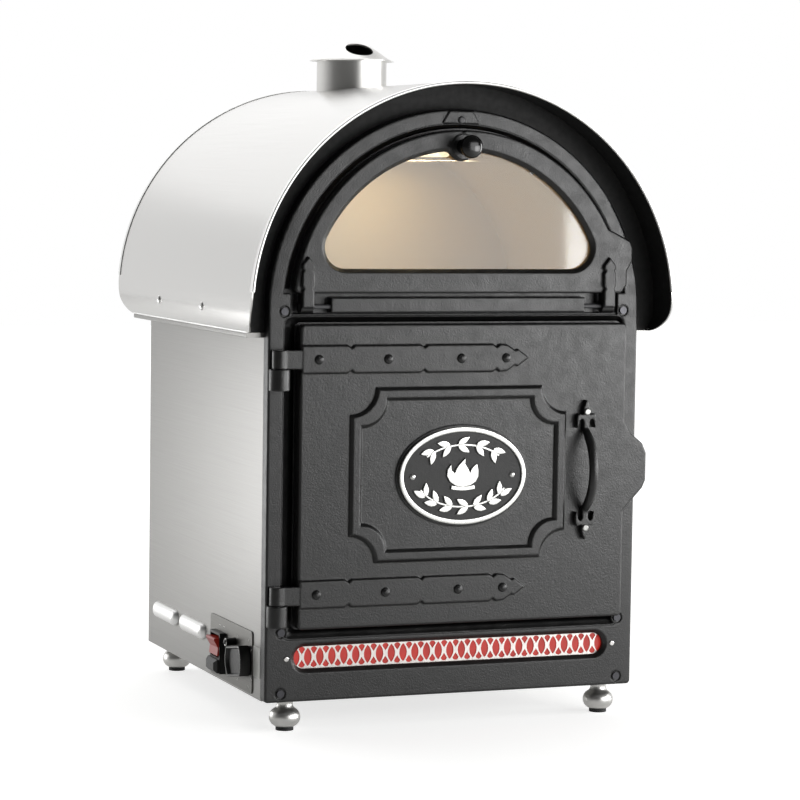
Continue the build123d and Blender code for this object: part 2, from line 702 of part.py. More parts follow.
with BuildPart() as handle:
    for flip in (-1, 1):
        handle_end(flip)
    with BuildLine(side(handle_x)) as grip_path:
        ThreePointArc((front_y + oven_door_face - 5.5, handle_z - 48),
                      (front_y + handle_front + 5.5, handle_z),
                      (front_y + oven_door_face - 5.5, handle_z + 48))
    with BuildSketch(Plane(origin=grip_path.line @ 0, z_dir=grip_path.line % 0)):
        Circle(5)
    sweep(path=grip_path.line)
    with BuildSketch(Plane(origin=(handle_x, front_y + handle_front + 5.5, handle_z), z_dir=(0, 0, 1))):
        Circle(5.5)
    extrude(amount=12, both=True)
    for screw_z in (handle_z - handle_screw_spread, handle_z + handle_screw_spread):
        rod(handle_x, (oven_door_face - 8, oven_door_face), screw_z, 2.2, Mode.SUBTRACT)
save(handle, "handle")

with BuildPart() as handle_screws:
    for screw_z in (handle_z - handle_screw_spread, handle_z + handle_screw_spread):
        rod(handle_x, (oven_door_face - 10, oven_door_face - 8), screw_z, 4)
        rod(handle_x, (oven_door_face - 8, -6), screw_z, 2.2)
    fillet(handle_screws.faces().group_by(Axis.Y)[0].edges(), 1.5)
save(handle_screws, "handle_screws")

with BuildPart() as oven_hinge_pins:
    for lug_z in lug_bottoms:
        post(oven_hinge_x, oven_hinge_depth, (lug_z, lug_z + lug_height + joint_gap + knuckle_height),
             oven_pin_radius)
save(oven_hinge_pins, "oven_hinge_pins")

# ---------------------------------------------------------------- body shell


with BuildPart() as base_tray:
    tray_x = panel_face - sheet
    block((-tray_x, tray_x), (cast_depth, body_depth - sheet), (base_z, base_z + 12))
    block((-tray_x + 2, tray_x - 2), (cast_depth + 2, body_depth - sheet - 2), (base_z + 2, base_z + 12),
          Mode.SUBTRACT)
    for foot_side in (-foot_x, foot_x):
        for foot_depth in foot_depths:
            post(foot_side, foot_depth, (base_z, base_z + 2), stud_radius, Mode.SUBTRACT)
save(base_tray, "base_tray")

with BuildPart() as side_panel_left:
    block((-panel_face, -panel_face + sheet), (cast_depth, body_depth), (base_z, canopy_bottom_z))
    # window behind the control plate
    block((-panel_face, -panel_face + sheet), (plate_depths[0] + 10, plate_depths[1] - 8),
          (plate_heights[0] + 6, plate_heights[1] - 6), Mode.SUBTRACT)
    # pressed louvres, open at their front ends
    for start, end in louvre_depths:
        block((-panel_face, -panel_face + sheet), (start, end - 4),
              (louvre_z - louvre_height / 2 + 2, louvre_z + louvre_height / 2 - 2), Mode.SUBTRACT)
        for inset, mode in ((0, Mode.ADD), (sheet, Mode.SUBTRACT)):
            with BuildSketch(front(end - inset * 2)):
                with BuildLine():
                    tall = louvre_height / 2 - inset
                    out = -panel_face - louvre_relief + inset
                    ThreePointArc((-panel_face, louvre_z - tall), (out, louvre_z), (-panel_face, louvre_z + tall))
                    Line((-panel_face, louvre_z + tall), (-panel_face, louvre_z - tall))
                make_face()
            extrude(amount=end - inset * 2 - start, mode=mode)
save(side_panel_left, "side_panel_left")

with BuildPart() as side_panel_right:
    block((panel_face - sheet, panel_face), (cast_depth, body_depth), (base_z, canopy_bottom_z))
save(side_panel_right, "side_panel_right")

with BuildPart() as body_arch:
    with BuildSketch(front(body_depth)):
        arch(panel_face, canopy_bottom_z)
        with BuildSketch(mode=Mode.SUBTRACT):
            arch(panel_face - sheet, canopy_bottom_z)
    extrude(amount=body_depth - cast_depth)
    post(0, flue_depth, (spring_z, flue_top_z), flue_radius + joint_gap, Mode.SUBTRACT)
save(body_arch, "body_arch")

with BuildPart() as rear_panel:
    with BuildSketch(front(body_depth)):
        arch(panel_face - sheet, base_z)
    extrude(amount=sheet)
    for row in range(6):
        block((-60, 60), (body_depth - sheet, body_depth), (mouth_z - 33 + row * 14, mouth_z - 27 + row * 14),
              Mode.SUBTRACT)
    rod(inlet_x, (body_depth - sheet, body_depth), inlet_z, 8, Mode.SUBTRACT)
save(rear_panel, "rear_panel")

with BuildPart() as supply_inlet:
    rod(inlet_x, (body_depth, body_depth + 8), inlet_z, 12)
    rod(inlet_x, (body_depth + 8, body_depth + 22), inlet_z, 9)
    rod(inlet_x, (body_depth - 14, body_depth), inlet_z, 8)
    rod(inlet_x, (body_depth - 14, body_depth + 22), inlet_z, inlet_radius, Mode.SUBTRACT)
save(supply_inlet, "supply_inlet")

with BuildPart() as data_label:
    block((-panel_face - 0.5, -panel_face), (cast_depth + 3, plate_depths[0] - 1),
          (base_z + 24, base_z + 58))
save(data_label, "data_label")

with BuildPart() as canopy_rails:
    rail_z = (canopy_bottom_z - canopy_rail_height, canopy_bottom_z)
    for panel_side in (-1, 1):
        block(sorted((panel_side * panel_face, panel_side * (panel_face + canopy_rail_width))),
              (cast_depth, body_depth), rail_z)
        block(sorted((panel_side * panel_face, panel_side * (panel_face + canopy_rail_width - 1.5))),
              (cast_depth + 1.5, body_depth - 1.5), (rail_z[0] + 1.5, rail_z[1] - 1.5), Mode.SUBTRACT)
save(canopy_rails, "canopy_rails")


# ---------------------------------------------------------------- canopy


def rolled_face(inset):
    """Canopy section: half-round top whose sides curl in below the spring line."""
    radius = canopy_radius - inset
    curl = canopy_curl_radius - inset
    drop = spring_z - canopy_bottom_z
    tuck = radius - curl + sqrt(curl ** 2 - drop ** 2)
    angle = asin(drop / curl) / 2
    middle = (radius - curl + curl * cos(angle), spring_z - curl * sin(angle))
    with BuildLine() as section:
        ThreePointArc((radius, spring_z), (0, spring_z + radius), (-radius, spring_z))
        ThreePointArc((-radius, spring_z), (-middle[0], middle[1]), (-tuck, canopy_bottom_z))
        Line((-tuck, canopy_bottom_z), (tuck, canopy_bottom_z))
        ThreePointArc((tuck, canopy_bottom_z), middle, (radius, spring_z))
    make_face(section.edges())


def rolled_sheet(inset, thickness, depth_range):
    """Rolled sheet between two depths, with its lower corners rounded in side view."""
    with BuildSketch(front(depth_range[1])) as section:
        rolled_face(inset)
        with BuildSketch(mode=Mode.SUBTRACT):
            rolled_face(inset + thickness)
    extrude(section.sketch, amount=depth_range[1] - depth_range[0])
    for rim, inward, towards_rim in ((canopy_front, 1, Align.MAX), (canopy_rear, -1, Align.MIN)):
        with BuildSketch(side(0)) as corner:
            with Locations((front_y + rim + inward * canopy_corner_radius, canopy_bottom_z + canopy_corner_radius)):
                Rectangle(canopy_corner_radius + 2, canopy_corner_radius + 2, align=(towards_rim, Align.MAX))
                Circle(canopy_corner_radius, mode=Mode.SUBTRACT)
        extrude(corner.sketch, amount=1.2 * canopy_radius, both=True, mode=Mode.SUBTRACT)


with BuildPart() as canopy:
    rolled_sheet(0, canopy_sheet, (canopy_front, canopy_rear))
    post(0, flue_depth, (spring_z, flue_top_z), flue_radius + joint_gap, Mode.SUBTRACT)
    for screw_depth in canopy_screw_depths:
        cross_rod((-canopy_radius - 2, canopy_radius + 2), screw_depth, canopy_screw_z, 2.6, Mode.SUBTRACT)
save(canopy, "canopy")

with BuildPart() as canopy_front_lining:
    rolled_sheet(canopy_sheet, 1, (canopy_front + 1, cast_depth + 1))
    with BuildSketch(front(cast_depth + 2)):
        rolled_face(canopy_sheet + 1)
        with BuildSketch(mode=Mode.SUBTRACT):
            arch(panel_face, canopy_bottom_z)
    extrude(amount=1.5)
save(canopy_front_lining, "canopy_front_lining")

with BuildPart() as canopy_rear_plate:
    with BuildSketch(front(body_depth - 2)):
        rolled_face(canopy_sheet)
        with BuildSketch(mode=Mode.SUBTRACT):
            arch(panel_face, canopy_bottom_z)
    extrude(amount=1.5)
save(canopy_rear_plate, "canopy_rear_plate")

for rim_depth, inward, name in ((canopy_front, 1, "canopy_trim_front"), (canopy_rear, -1, "canopy_trim_rear")):
    with BuildPart() as canopy_trim:
        near = sorted((rim_depth - inward * trim_wrap, rim_depth + inward * trim_width))
        with BuildSketch(front(near[1])):
            with Locations((0, spring_z)):
                Circle(canopy_radius + trim_wrap)
                Circle(canopy_radius - canopy_sheet, mode=Mode.SUBTRACT)
            with Locations((0, trim_end_z)):
                Rectangle(3 * canopy_radius, 3 * canopy_radius, align=(Align.CENTER, Align.MAX), mode=Mode.SUBTRACT)
        extrude(amount=near[1] - near[0])
        inner = sorted((rim_depth, rim_depth + inward * (trim_width + 1)))
        with BuildSketch(front(inner[1])):
            with Locations((0, spring_z)):
                Circle(canopy_radius)
        extrude(amount=inner[1] - inner[0], mode=Mode.SUBTRACT)
    save(canopy_trim, name)

with BuildPart() as canopy_spacers:
    for panel_side in (-1, 1):
        for screw_depth in canopy_screw_depths:
            reach = sorted((panel_side * panel_face, panel_side * (canopy_radius - canopy_sheet)))
            cross_rod(reach, screw_depth, canopy_screw_z, 7)
            cross_rod(reach, screw_depth, canopy_screw_z, 2.5, Mode.SUBTRACT)
    with BuildSketch(front(canopy_rear)):
        rolled_face(canopy_sheet)
    extrude(amount=canopy_rear - canopy_front, mode=Mode.INTERSECT)
save(canopy_spacers, "canopy_spacers")

with BuildPart() as canopy_screws:
    for panel_side in (-1, 1):
        for screw_depth in canopy_screw_depths:
            shank = sorted((panel_side * panel_face, panel_side * canopy_radius))
            head = sorted((panel_side * canopy_radius, panel_side * (canopy_radius + 2.4)))
            cross_rod(shank, screw_depth, canopy_screw_z, 2.5)
            cross_rod(head, screw_depth, canopy_screw_z, 5)
save(canopy_screws, "canopy_screws")

with BuildPart() as flue_tube:
    post(0, flue_depth, (mouth_top_z + sheet, flue_top_z), flue_radius)
    post(0, flue_depth, (mouth_top_z + sheet, flue_top_z), flue_radius - flue_wall, Mode.SUBTRACT)
save(flue_tube, "flue_tube")

with BuildPart() as chimney_cap:
    flue_y = front_y + flue_depth
    with BuildSketch(Plane.XZ.offset(-flue_y)):
        with BuildLine():
            Spline((cap_radius, flue_top_z), (cap_radius * 0.55, flue_top_z + cap_height * 0.66),
                   (0, flue_top_z + cap_height), tangents=((-1, 0.42), (-1, 0)))
            Line((0, flue_top_z + cap_height), (0, flue_top_z + cap_height - 1.8))
            Spline((0, flue_top_z + cap_height - 1.8), (cap_radius * 0.53, flue_top_z + cap_height * 0.58),
                   (cap_radius - 4, flue_top_z), tangents=((1, 0), (1, -0.42)))
            Line((cap_radius - 4, flue_top_z), (cap_radius, flue_top_z))
        make_face()
    revolve(axis=Axis((0, flue_y, 0), (0, 0, 1)))
    post(0, flue_depth, (flue_top_z - 10, flue_top_z + 3), flue_radius - flue_wall)
    post(0, flue_depth, (flue_top_z - 10, flue_top_z + 3), flue_radius - 2 * flue_wall, Mode.SUBTRACT)
    with BuildSketch(Plane.XY.offset(flue_top_z)):
        with Locations((0, flue_y)):
            Circle(cap_radius - 2)
            Circle(flue_radius - 2 * flue_wall, mode=Mode.SUBTRACT)
    extrude(amount=1.4)
    tilt = radians(cap_hole_tilt)
    with BuildSketch(Plane(origin=(0, flue_y - cap_hole_offset, flue_top_z + 8),
                           x_dir=(1, 0, 0), z_dir=(0, -sin(tilt), cos(tilt)))):
        Circle(cap_hole_radius)
    extrude(amount=30, mode=Mode.SUBTRACT)
save(chimney_cap, "chimney_cap")

# ---------------------------------------------------------------- display compartment


with BuildPart() as display_liner:
    with BuildSketch(front(display_depth)):
        arch(display_liner_radius + sheet, jacket_top_z)
    extrude(amount=display_depth - cast_depth)
    with BuildSketch(front(display_depth - sheet)):
        arch(display_liner_radius, jacket_top_z)
    extrude(amount=display_depth - sheet - cast_depth, mode=Mode.SUBTRACT)
save(display_liner, "display_liner")

with BuildPart() as display_floor:
    floor_x = display_liner_radius - 2.3
    block((-floor_x, floor_x), (cast_depth, display_depth - sheet), (jacket_top_z, display_floor_z))
    block((-floor_x + sheet, floor_x - sheet), (cast_depth, display_depth - sheet),
          (jacket_top_z, display_floor_z - sheet), Mode.SUBTRACT)
    for index in range(11):
        slot_x = (index - 5) * 30
        block((slot_x - 3, slot_x + 3), (60, display_depth - 60), (jacket_top_z, display_floor_z), Mode.SUBTRACT)
save(display_floor, "display_floor")

with BuildPart() as display_shelf:
    shelf_half = display_liner_radius - 20
    for bar_depth in (40, (cast_depth + display_depth) / 2, display_depth - 24):
        cross_rod((-shelf_half, shelf_half), bar_depth, display_floor_z + rack_wire_radius, rack_wire_radius)
    for index in range(17):
        rod((index - 8) * (shelf_half - 4) / 8, (24, display_depth - 12), display_floor_z + 6, 1.5)
save(display_shelf, "display_shelf")

with BuildPart() as lamp_holders:
    for holder_depth in display_lamp_depths:
        post(0, holder_depth, (display_lamp_z + 6, display_lamp_z + 26), 28)
    with BuildSketch(front(display_depth)):
        with Locations((0, spring_z)):
            Circle(display_liner_radius)
    extrude(amount=display_depth, mode=Mode.INTERSECT)
save(lamp_holders, "lamp_holders")

with BuildPart() as display_lamps:
    for holder_depth in display_lamp_depths:
        post(0, holder_depth, (display_lamp_z, display_lamp_z + 6), 24)
    fillet(display_lamps.faces().group_by(Axis.Z)[0].edges(), 4)
save(display_lamps, "display_lamps")

# ---------------------------------------------------------------- oven compartment


with BuildPart() as oven_liner:
    block((mouth_left - sheet, mouth_right + sheet), (cast_depth, oven_depth),
          (mouth_bottom_z - sheet, mouth_top_z + sheet))
    block((mouth_left, mouth_right), (cast_depth, oven_depth - sheet), (mouth_bottom_z, mouth_top_z), Mode.SUBTRACT)
    post(0, flue_depth, (mouth_top_z - 1, mouth_top_z + 5), flue_radius - flue_wall, Mode.SUBTRACT)
    rod(mouth_x, (oven_depth - 5, oven_depth), mouth_z, shaft_hole_radius, Mode.SUBTRACT)
save(oven_liner, "oven_liner")

with BuildPart() as insulation_jacket:
    jacket_x = (mouth_left - jacket_side, mouth_right + jacket_side)
    block(jacket_x, (cast_depth, oven_depth + jacket_back), (jacket_bottom_z, jacket_top_z))
    block((mouth_left - sheet, mouth_right + sheet), (cast_depth, oven_depth),
          (mouth_bottom_z - sheet, mouth_top_z + sheet), Mode.SUBTRACT)
    post(0, flue_depth, (mouth_top_z, jacket_top_z), flue_radius, Mode.SUBTRACT)
    rod(mouth_x, (oven_depth, oven_depth + jacket_back), mouth_z, shaft_hole_radius, Mode.SUBTRACT)
save(insulation_jacket, "insulation_jacket")

with BuildPart() as chassis_rails:
    # clips at the ends of the glow lamp
    for panel_side in (-1, 1):
        block(sorted((lamp_half_length * panel_side, (lamp_half_length + 12) * panel_side)),
              (lamp_depth - 10, lamp_depth + 10), (base_z + 2, slot_z + 11))
    for rail_x in (mouth_x - 125, mouth_x + 125):
        block((rail_x - 12, rail_x + 12), (60, oven_depth + jacket_back), (base_z + 2, jacket_bottom_z))
        block((rail_x - 10, rail_x + 12), (60, oven_depth + jacket_back), (base_z + 4, jacket_bottom_z - 2),
              Mode.SUBTRACT)
save(chassis_rails, "chassis_rails")

runner_width = 12.0
with BuildPart() as rack_runners:
    for rack_z in rack_heights:
        for wall, inner in ((mouth_left, mouth_left + runner_width), (mouth_right - runner_width, mouth_right)):
            block((wall, inner), (rack_depths[0] - 4, rack_depths[1] + 2), (rack_z - 6, rack_z))
save(rack_runners, "rack_runners")

with BuildPart() as oven_racks:
    rack_x = (mouth_left + 6, mouth_right - 6)
    for rack_z in rack_heights:
        wire_z = rack_z + rack_wire_radius
        for bar_x in rack_x:
            rod(bar_x, rack_depths, wire_z, rack_wire_radius)
        for bar_depth in rack_depths:
            cross_rod((rack_x[0] - rack_wire_radius, rack_x[1] + rack_wire_radius), bar_depth, wire_z,
                      rack_wire_radius)
        for index in range(1, 12):
            wire_depth = rack_depths[0] + index * (rack_depths[1] - rack_depths[0]) / 12
            cross_rod(rack_x, wire_depth, wire_z, 1.6)
save(oven_racks, "oven_racks")

with BuildPart() as fan_baffle:
    block((mouth_left, mouth_right), (baffle_depth, baffle_depth + sheet), (mouth_bottom_z, mouth_top_z))
    with BuildSketch(front(baffle_depth + sheet)):
        with Locations((mouth_x, mouth_z)):
            for ring, count in ((12, 6), (26, 12), (40, 18), (54, 24)):
                with PolarLocations(ring, count):
                    Circle(3.6)
        with Locations((mouth_left + 22, mouth_z), (mouth_right - 22, mouth_z)):
            with GridLocations(0, 22, 1, 11):
                SlotOverall(20, 7)
    extrude(amount=sheet, mode=Mode.SUBTRACT)
save(fan_baffle, "fan_baffle")

with BuildPart() as heating_element:
    element_radius, element_depth = fan_radius + 21, fan_depth + 12
    with BuildSketch(side(mouth_x)):
        with Locations((front_y + element_depth, mouth_z + element_radius)):
            Circle(4)
    revolve(axis=Axis((mouth_x, 0, mouth_z), (0, 1, 0)))
    for leg_x in (-14, 14):
        leg_z = mouth_z - sqrt(element_radius ** 2 - leg_x ** 2)
        rod(mouth_x + leg_x, (element_depth, oven_depth - sheet), leg_z, 4)
save(heating_element, "heating_element")

with BuildPart() as fan_wheel:
    rod(mouth_x, (fan_depth + 18, fan_depth + 20), mouth_z, fan_radius)
    rod(mouth_x, (fan_depth - 2, fan_depth + 18), mouth_z, 12)
    with BuildSketch(front(fan_depth + 18)):
        with Locations((mouth_x, mouth_z)):
            with PolarLocations(fan_radius - 16, 10):
                Rectangle(28, 1.6)
    extrude(amount=18)
    rod(mouth_x, (fan_depth + 20, oven_depth + jacket_back + 18), mouth_z, shaft_radius)
save(fan_wheel, "fan_wheel")

with BuildPart() as fan_motor:
    motor_start = oven_depth + jacket_back
    rod(mouth_x, (motor_start, motor_start + 24), mouth_z, 38)
    rod(mouth_x, (motor_start, motor_start + 20), mouth_z, shaft_radius + running_gap, Mode.SUBTRACT)
save(fan_motor, "fan_motor")

# ---------------------------------------------------------------- controls on the left side


with BuildPart() as control_plate:
    with BuildSketch(left_side(plate_face)) as plate_outline:
        with Locations((front_y + sum(plate_depths) / 2, sum(plate_heights) / 2)):
            Rectangle(plate_depths[1] - plate_depths[0], plate_heights[1] - plate_heights[0])
        fillet(plate_outline.vertices(), 5)
    extrude(amount=plate_thickness)
    cross_rod((-plate_face, -panel_face), timer_depth, timer_z, timer_shaft_radius + 1, Mode.SUBTRACT)
    cross_rod((-plate_face, -panel_face), button_depth, button_z, button_radius + joint_gap, Mode.SUBTRACT)
    block((-plate_face, -panel_face), switch_depths, switch_heights, Mode.SUBTRACT)
save(control_plate, "control_plate")

with BuildPart() as switch_body:
    bezel_depths = (switch_depths[0] - 2.5, switch_depths[1] + 2.5)
    block((-plate_face - 7, -plate_face), bezel_depths, (switch_heights[0] - 18, switch_heights[1] + 2.6))
    block((-plate_face - 13, -plate_face - 7), (bezel_depths[0] + 1, bezel_depths[1] - 1),
          (switch_heights[0] - 17, switch_heights[0] - 1.5))
    chamfer(switch_body.faces().sort_by(Axis.X)[0].edges(), 3.5)
    block((-panel_face, -panel_face + 26), (bezel_depths[0] + 1, bezel_depths[1] - 1),
          (switch_heights[0] - 5, switch_heights[1] + 4.6))
    block((-plate_face, -panel_face), switch_depths, switch_heights)
    block((-plate_face - 7, -panel_face + 8), (switch_depths[0] + 0.1, switch_depths[1] - 0.1),
          (switch_heights[0] + 0.1, switch_heights[1] - 0.1), Mode.SUBTRACT)
save(switch_body, "switch_body")

with BuildPart() as rocker:
    pivot_x = -plate_face - 4
    with BuildSketch(front(rocker_depth + rocker_width / 2)):
        with BuildLine():
            Polyline((pivot_x - 10.5, rocker_z + 10.5), (pivot_x - 4, rocker_z - 1), (pivot_x - 5, rocker_z - 10.5),
                     (pivot_x + 4, rocker_z - 9), (pivot_x + 4, rocker_z + 9), close=True)
        make_face()
    extrude(amount=rocker_width)
    fillet(rocker.edges().filter_by(Axis.Y).group_by(Axis.X)[0], 2)
save(rocker, "rocker")

with BuildPart() as control_housings:
    block((-panel_face, -panel_face + 34), (timer_depth - 20, timer_depth + 20), (timer_z - 22, timer_z + 8))
    cross_rod((-panel_face, -panel_face + 20), timer_depth, timer_z, timer_shaft_radius + running_gap,
              Mode.SUBTRACT)
    block((-panel_face, -panel_face + 24), (button_depth - 9, button_depth + 9), (button_z - 8.5, button_z + 9))
    cross_rod((-panel_face, -panel_face + 20), button_depth, button_z, button_radius + 2 * running_gap,
              Mode.SUBTRACT)
save(control_housings, "control_housings")

with BuildPart() as timer_knob:
    with BuildSketch(left_side(plate_face + timer_reach)):
        with Locations((front_y + timer_depth, timer_z)):
            Circle(timer_bar[0] / 2)
            Rectangle(2 * timer_bar[0], timer_bar[1], rotation=-timer_angle, mode=Mode.INTERSECT)
    extrude(amount=timer_reach - 0.6)
    fillet(timer_knob.faces().sort_by(Axis.X)[0].edges(), 2)
    cross_rod((-plate_face - 2, -panel_face + 18), timer_depth, timer_z, timer_shaft_radius)
save(timer_knob, "timer_knob")

with BuildPart() as push_button:
    cross_rod((-plate_face - button_reach, -panel_face + 12), button_depth, button_z, button_radius)
    fillet(push_button.faces().sort_by(Axis.X)[0].edges(), 1)
save(push_button, "push_button")

# ---------------------------------------------------------------- feet


for depth, name in zip(foot_depths, ("feet_front", "feet_rear")):
    with BuildPart() as feet:
        for across in (-foot_x, foot_x):
            with BuildSketch(Plane.XZ.offset(-(front_y + depth))):
                with BuildLine():
                    Line((across, pad_height), (across + 10, pad_height))
                    ThreePointArc((across + 10, pad_height), (across + foot_radius, 15), (across + 11, 24.5))
                    ThreePointArc((across + 11, 24.5), (across + 9.4, 27), (across + 10, base_z))
                    Line((across + 10, base_z), (across, base_z))
                    Line((across, base_z), (across, pad_height))
                make_face()
            revolve(axis=Axis((across, front_y + depth, 0), (0, 0, 1)))
            post(across, depth, (base_z, base_z + 8), stud_radius)
    save(feet, name)

with BuildPart() as foot_pads:
    for depth in foot_depths:
        for across in (-foot_x, foot_x):
            post(across, depth, (0, pad_height), 10)
save(foot_pads, "foot_pads")
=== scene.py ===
"""Builds the looks of a countertop baked potato oven around its fixed frame."""

import math

import bmesh
import bpy
from mathutils import Matrix, Vector


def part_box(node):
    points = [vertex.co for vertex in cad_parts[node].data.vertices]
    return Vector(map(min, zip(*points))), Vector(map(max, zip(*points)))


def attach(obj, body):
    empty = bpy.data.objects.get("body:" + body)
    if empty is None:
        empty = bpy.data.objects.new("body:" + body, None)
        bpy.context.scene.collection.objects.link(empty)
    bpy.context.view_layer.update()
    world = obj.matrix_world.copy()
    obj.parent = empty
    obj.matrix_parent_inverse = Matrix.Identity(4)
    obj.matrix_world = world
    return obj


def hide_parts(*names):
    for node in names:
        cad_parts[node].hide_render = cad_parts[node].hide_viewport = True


bl_info = {
    "name": "Baked potato oven",
    "version": (1, 0, 0),
    "blender": (4, 5, 0),
    "location": "3D View > Sidebar > Potato oven",
    "description": "Finishes and fittings of a countertop baked potato oven",
    "category": "Object",
}

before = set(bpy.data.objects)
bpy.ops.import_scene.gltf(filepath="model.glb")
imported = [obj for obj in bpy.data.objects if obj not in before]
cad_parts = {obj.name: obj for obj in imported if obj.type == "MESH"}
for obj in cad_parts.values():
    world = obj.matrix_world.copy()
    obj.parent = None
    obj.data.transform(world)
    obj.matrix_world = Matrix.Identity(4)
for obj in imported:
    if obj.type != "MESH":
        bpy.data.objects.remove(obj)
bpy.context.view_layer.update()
MM = 0.001

# Places in millimetres, in the frame's own axes. A depth is counted back from FACE.
CAST_DEPTH = 15
FACE = round(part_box("body_arch")[0][1] / MM, 3) - CAST_DEPTH
SPRING = 466
HINGE_SIDE = -189
DOOR_MIDDLE = 283.25
STRAP_HEIGHTS = (154.7, 413.0)
KNOB_HEIGHT = 647
CANOPY_RADIUS = 252.5
CANOPY_FOOT = 441
CONTROL_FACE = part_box("control_plate")[0][0] / MM
TIMER_PLACE = (CONTROL_FACE, FACE + 73, 70)
BUTTON_PLACE = (CONTROL_FACE, FACE + 103, 87)


# ---------------------------------------------------------------- sizes and colours


class OvenSizes(bpy.types.PropertyGroup):
    """Sizes of the fittings that are shaped here."""

    enamel_edge: bpy.props.FloatProperty(
        name="Enamel edge",
        description="Rounding that enamel gives the edges of the castings",
        default=2.6 * MM,
        unit="LENGTH",
    )
    rivet_radius: bpy.props.FloatProperty(
        name="Rivet radius",
        description="Radius of the cast rivets on the straps",
        default=5.4 * MM,
        unit="LENGTH",
    )
    badge_rim: bpy.props.FloatProperty(
        name="Badge rim",
        description="Width of the bright rim round the badge",
        default=5.6 * MM,
        unit="LENGTH",
    )
    grip_radius: bpy.props.FloatProperty(
        name="Grip radius",
        description="Radius of the pull at its middle",
        default=5.3 * MM,
        unit="LENGTH",
    )
    louvre_relief: bpy.props.FloatProperty(
        name="Louvre relief",
        description="How far the louvres stand out of the panel",
        default=7.6 * MM,
        unit="LENGTH",
    )


class OvenColours(bpy.types.PropertyGroup):
    """Colours that a user would change."""

    enamel: bpy.props.StringProperty(
        name="Enamel",
        description="Black enamel of the castings",
        default="#0d0d0d",
    )
    # stainless painted darker than the canopy's, as painted shade on the panels
    panel: bpy.props.StringProperty(
        name="Panels",
        description="Brushed stainless side panels",
        default="#8f8e8c",
    )
    rolled: bpy.props.StringProperty(
        name="Canopy",
        description="Rolled stainless canopy",
        default="#c6c5c3",
    )
    silver: bpy.props.StringProperty(
        name="Badge silver",
        description="Bright parts of the badge",
        default="#cdcdca",
    )
    glow: bpy.props.StringProperty(
        name="Glow",
        description="Light behind the grille",
        default="#e0382f",
    )
    lamp: bpy.props.StringProperty(
        name="Lamp",
        description="Display lamps",
        default="#ffe6bc",
    )
    floor: bpy.props.StringProperty(
        name="Floor",
        description="Floor around the oven",
        default="#cfcfcd",
    )


# ---------------------------------------------------------------- materials


def linear(colour):
    """sRGB hex to a linear colour with alpha."""
    channels = (int(colour[i:i + 2], 16) / 255 for i in (1, 3, 5))
    return [c / 12.92 if c <= 0.04045 else ((c + 0.055) / 1.055) ** 2.4 for c in channels] + [1.0]


def add_node(tree, kind, settings=None, inputs=None, links=None, stops=()):
    """Add a node, set its properties and sockets, and link other nodes' outputs to its inputs.

    Stops are positions along its colour ramp, each with a linear colour or a grey level.
    """
    node = tree.nodes.new(kind)
    for key, value in (settings or {}).items():
        setattr(node, key, value)
    for key, value in (inputs or {}).items():
        node.inputs[key].default_value = value
    for key, output in (links or {}).items():
        tree.links.new(output, node.inputs[key])
    for index, (position, value) in enumerate(stops):
        elements = node.color_ramp.elements
        element = elements[index] if index < 2 else elements.new(position)
        element.position = position
        element.color = value if isinstance(value, list) else (value, value, value, 1)
    return node


def new_material(name):
    """Empty material with its principled shader and the object's own coordinates."""
    material = bpy.data.materials.get(name)
    if material:
        return material, None, None, None
    material = bpy.data.materials.new(name)
    material.use_nodes = True
    tree = material.node_tree
    shader = tree.nodes["Principled BSDF"]
    coordinates = add_node(tree, "ShaderNodeTexCoord").outputs["Object"]
    return material, tree, shader, coordinates


def roughness_between(tree, shader, factor, low, high):
    """Let a pattern drive the roughness between two levels."""
    levels = add_node(tree, "ShaderNodeValToRGB", links={"Fac": factor}, stops=((0.3, low), (0.7, high)))
    tree.links.new(levels.outputs["Color"], shader.inputs["Roughness"])


def black_enamel():
    """Vitreous enamel on cast iron: gloss black that rounds the edges, over the sand-cast skin."""
    material, tree, shader, place = new_material("vitreous_enamel_on_cast_iron")
    if not tree:
        return material
    scene = bpy.context.scene
    # the sand-cast skin shows grains of about 2 mm, and slower waves of about 12 mm
    grains = add_node(tree, "ShaderNodeTexNoise", inputs={"Scale": 520.0, "Detail": 3.0, "Roughness": 0.6},
                      links={"Vector": place})
    waves = add_node(tree, "ShaderNodeTexNoise", inputs={"Scale": 80.0, "Detail": 2.0},
                     links={"Vector": place})
    heights = add_node(tree, "ShaderNodeMath", {"operation": "MULTIPLY_ADD"}, {1: 0.5},
                       {0: waves.outputs["Fac"], 2: grains.outputs["Fac"]})
    edge = add_node(tree, "ShaderNodeBevel", {"samples": 6}, {"Radius": scene.oven_sizes.enamel_edge})
    bump = add_node(tree, "ShaderNodeBump", inputs={"Strength": 0.5, "Distance": 0.0006},
                    links={"Height": heights.outputs[0], "Normal": edge.outputs["Normal"]})
    roughness_between(tree, shader, waves.outputs["Fac"], 0.3, 0.42)
    shader.inputs["Base Color"].default_value = linear(scene.oven_colours.enamel)
    tree.links.new(bump.outputs["Normal"], shader.inputs["Normal"])
    shader.inputs["IOR"].default_value = 1.55
    return material


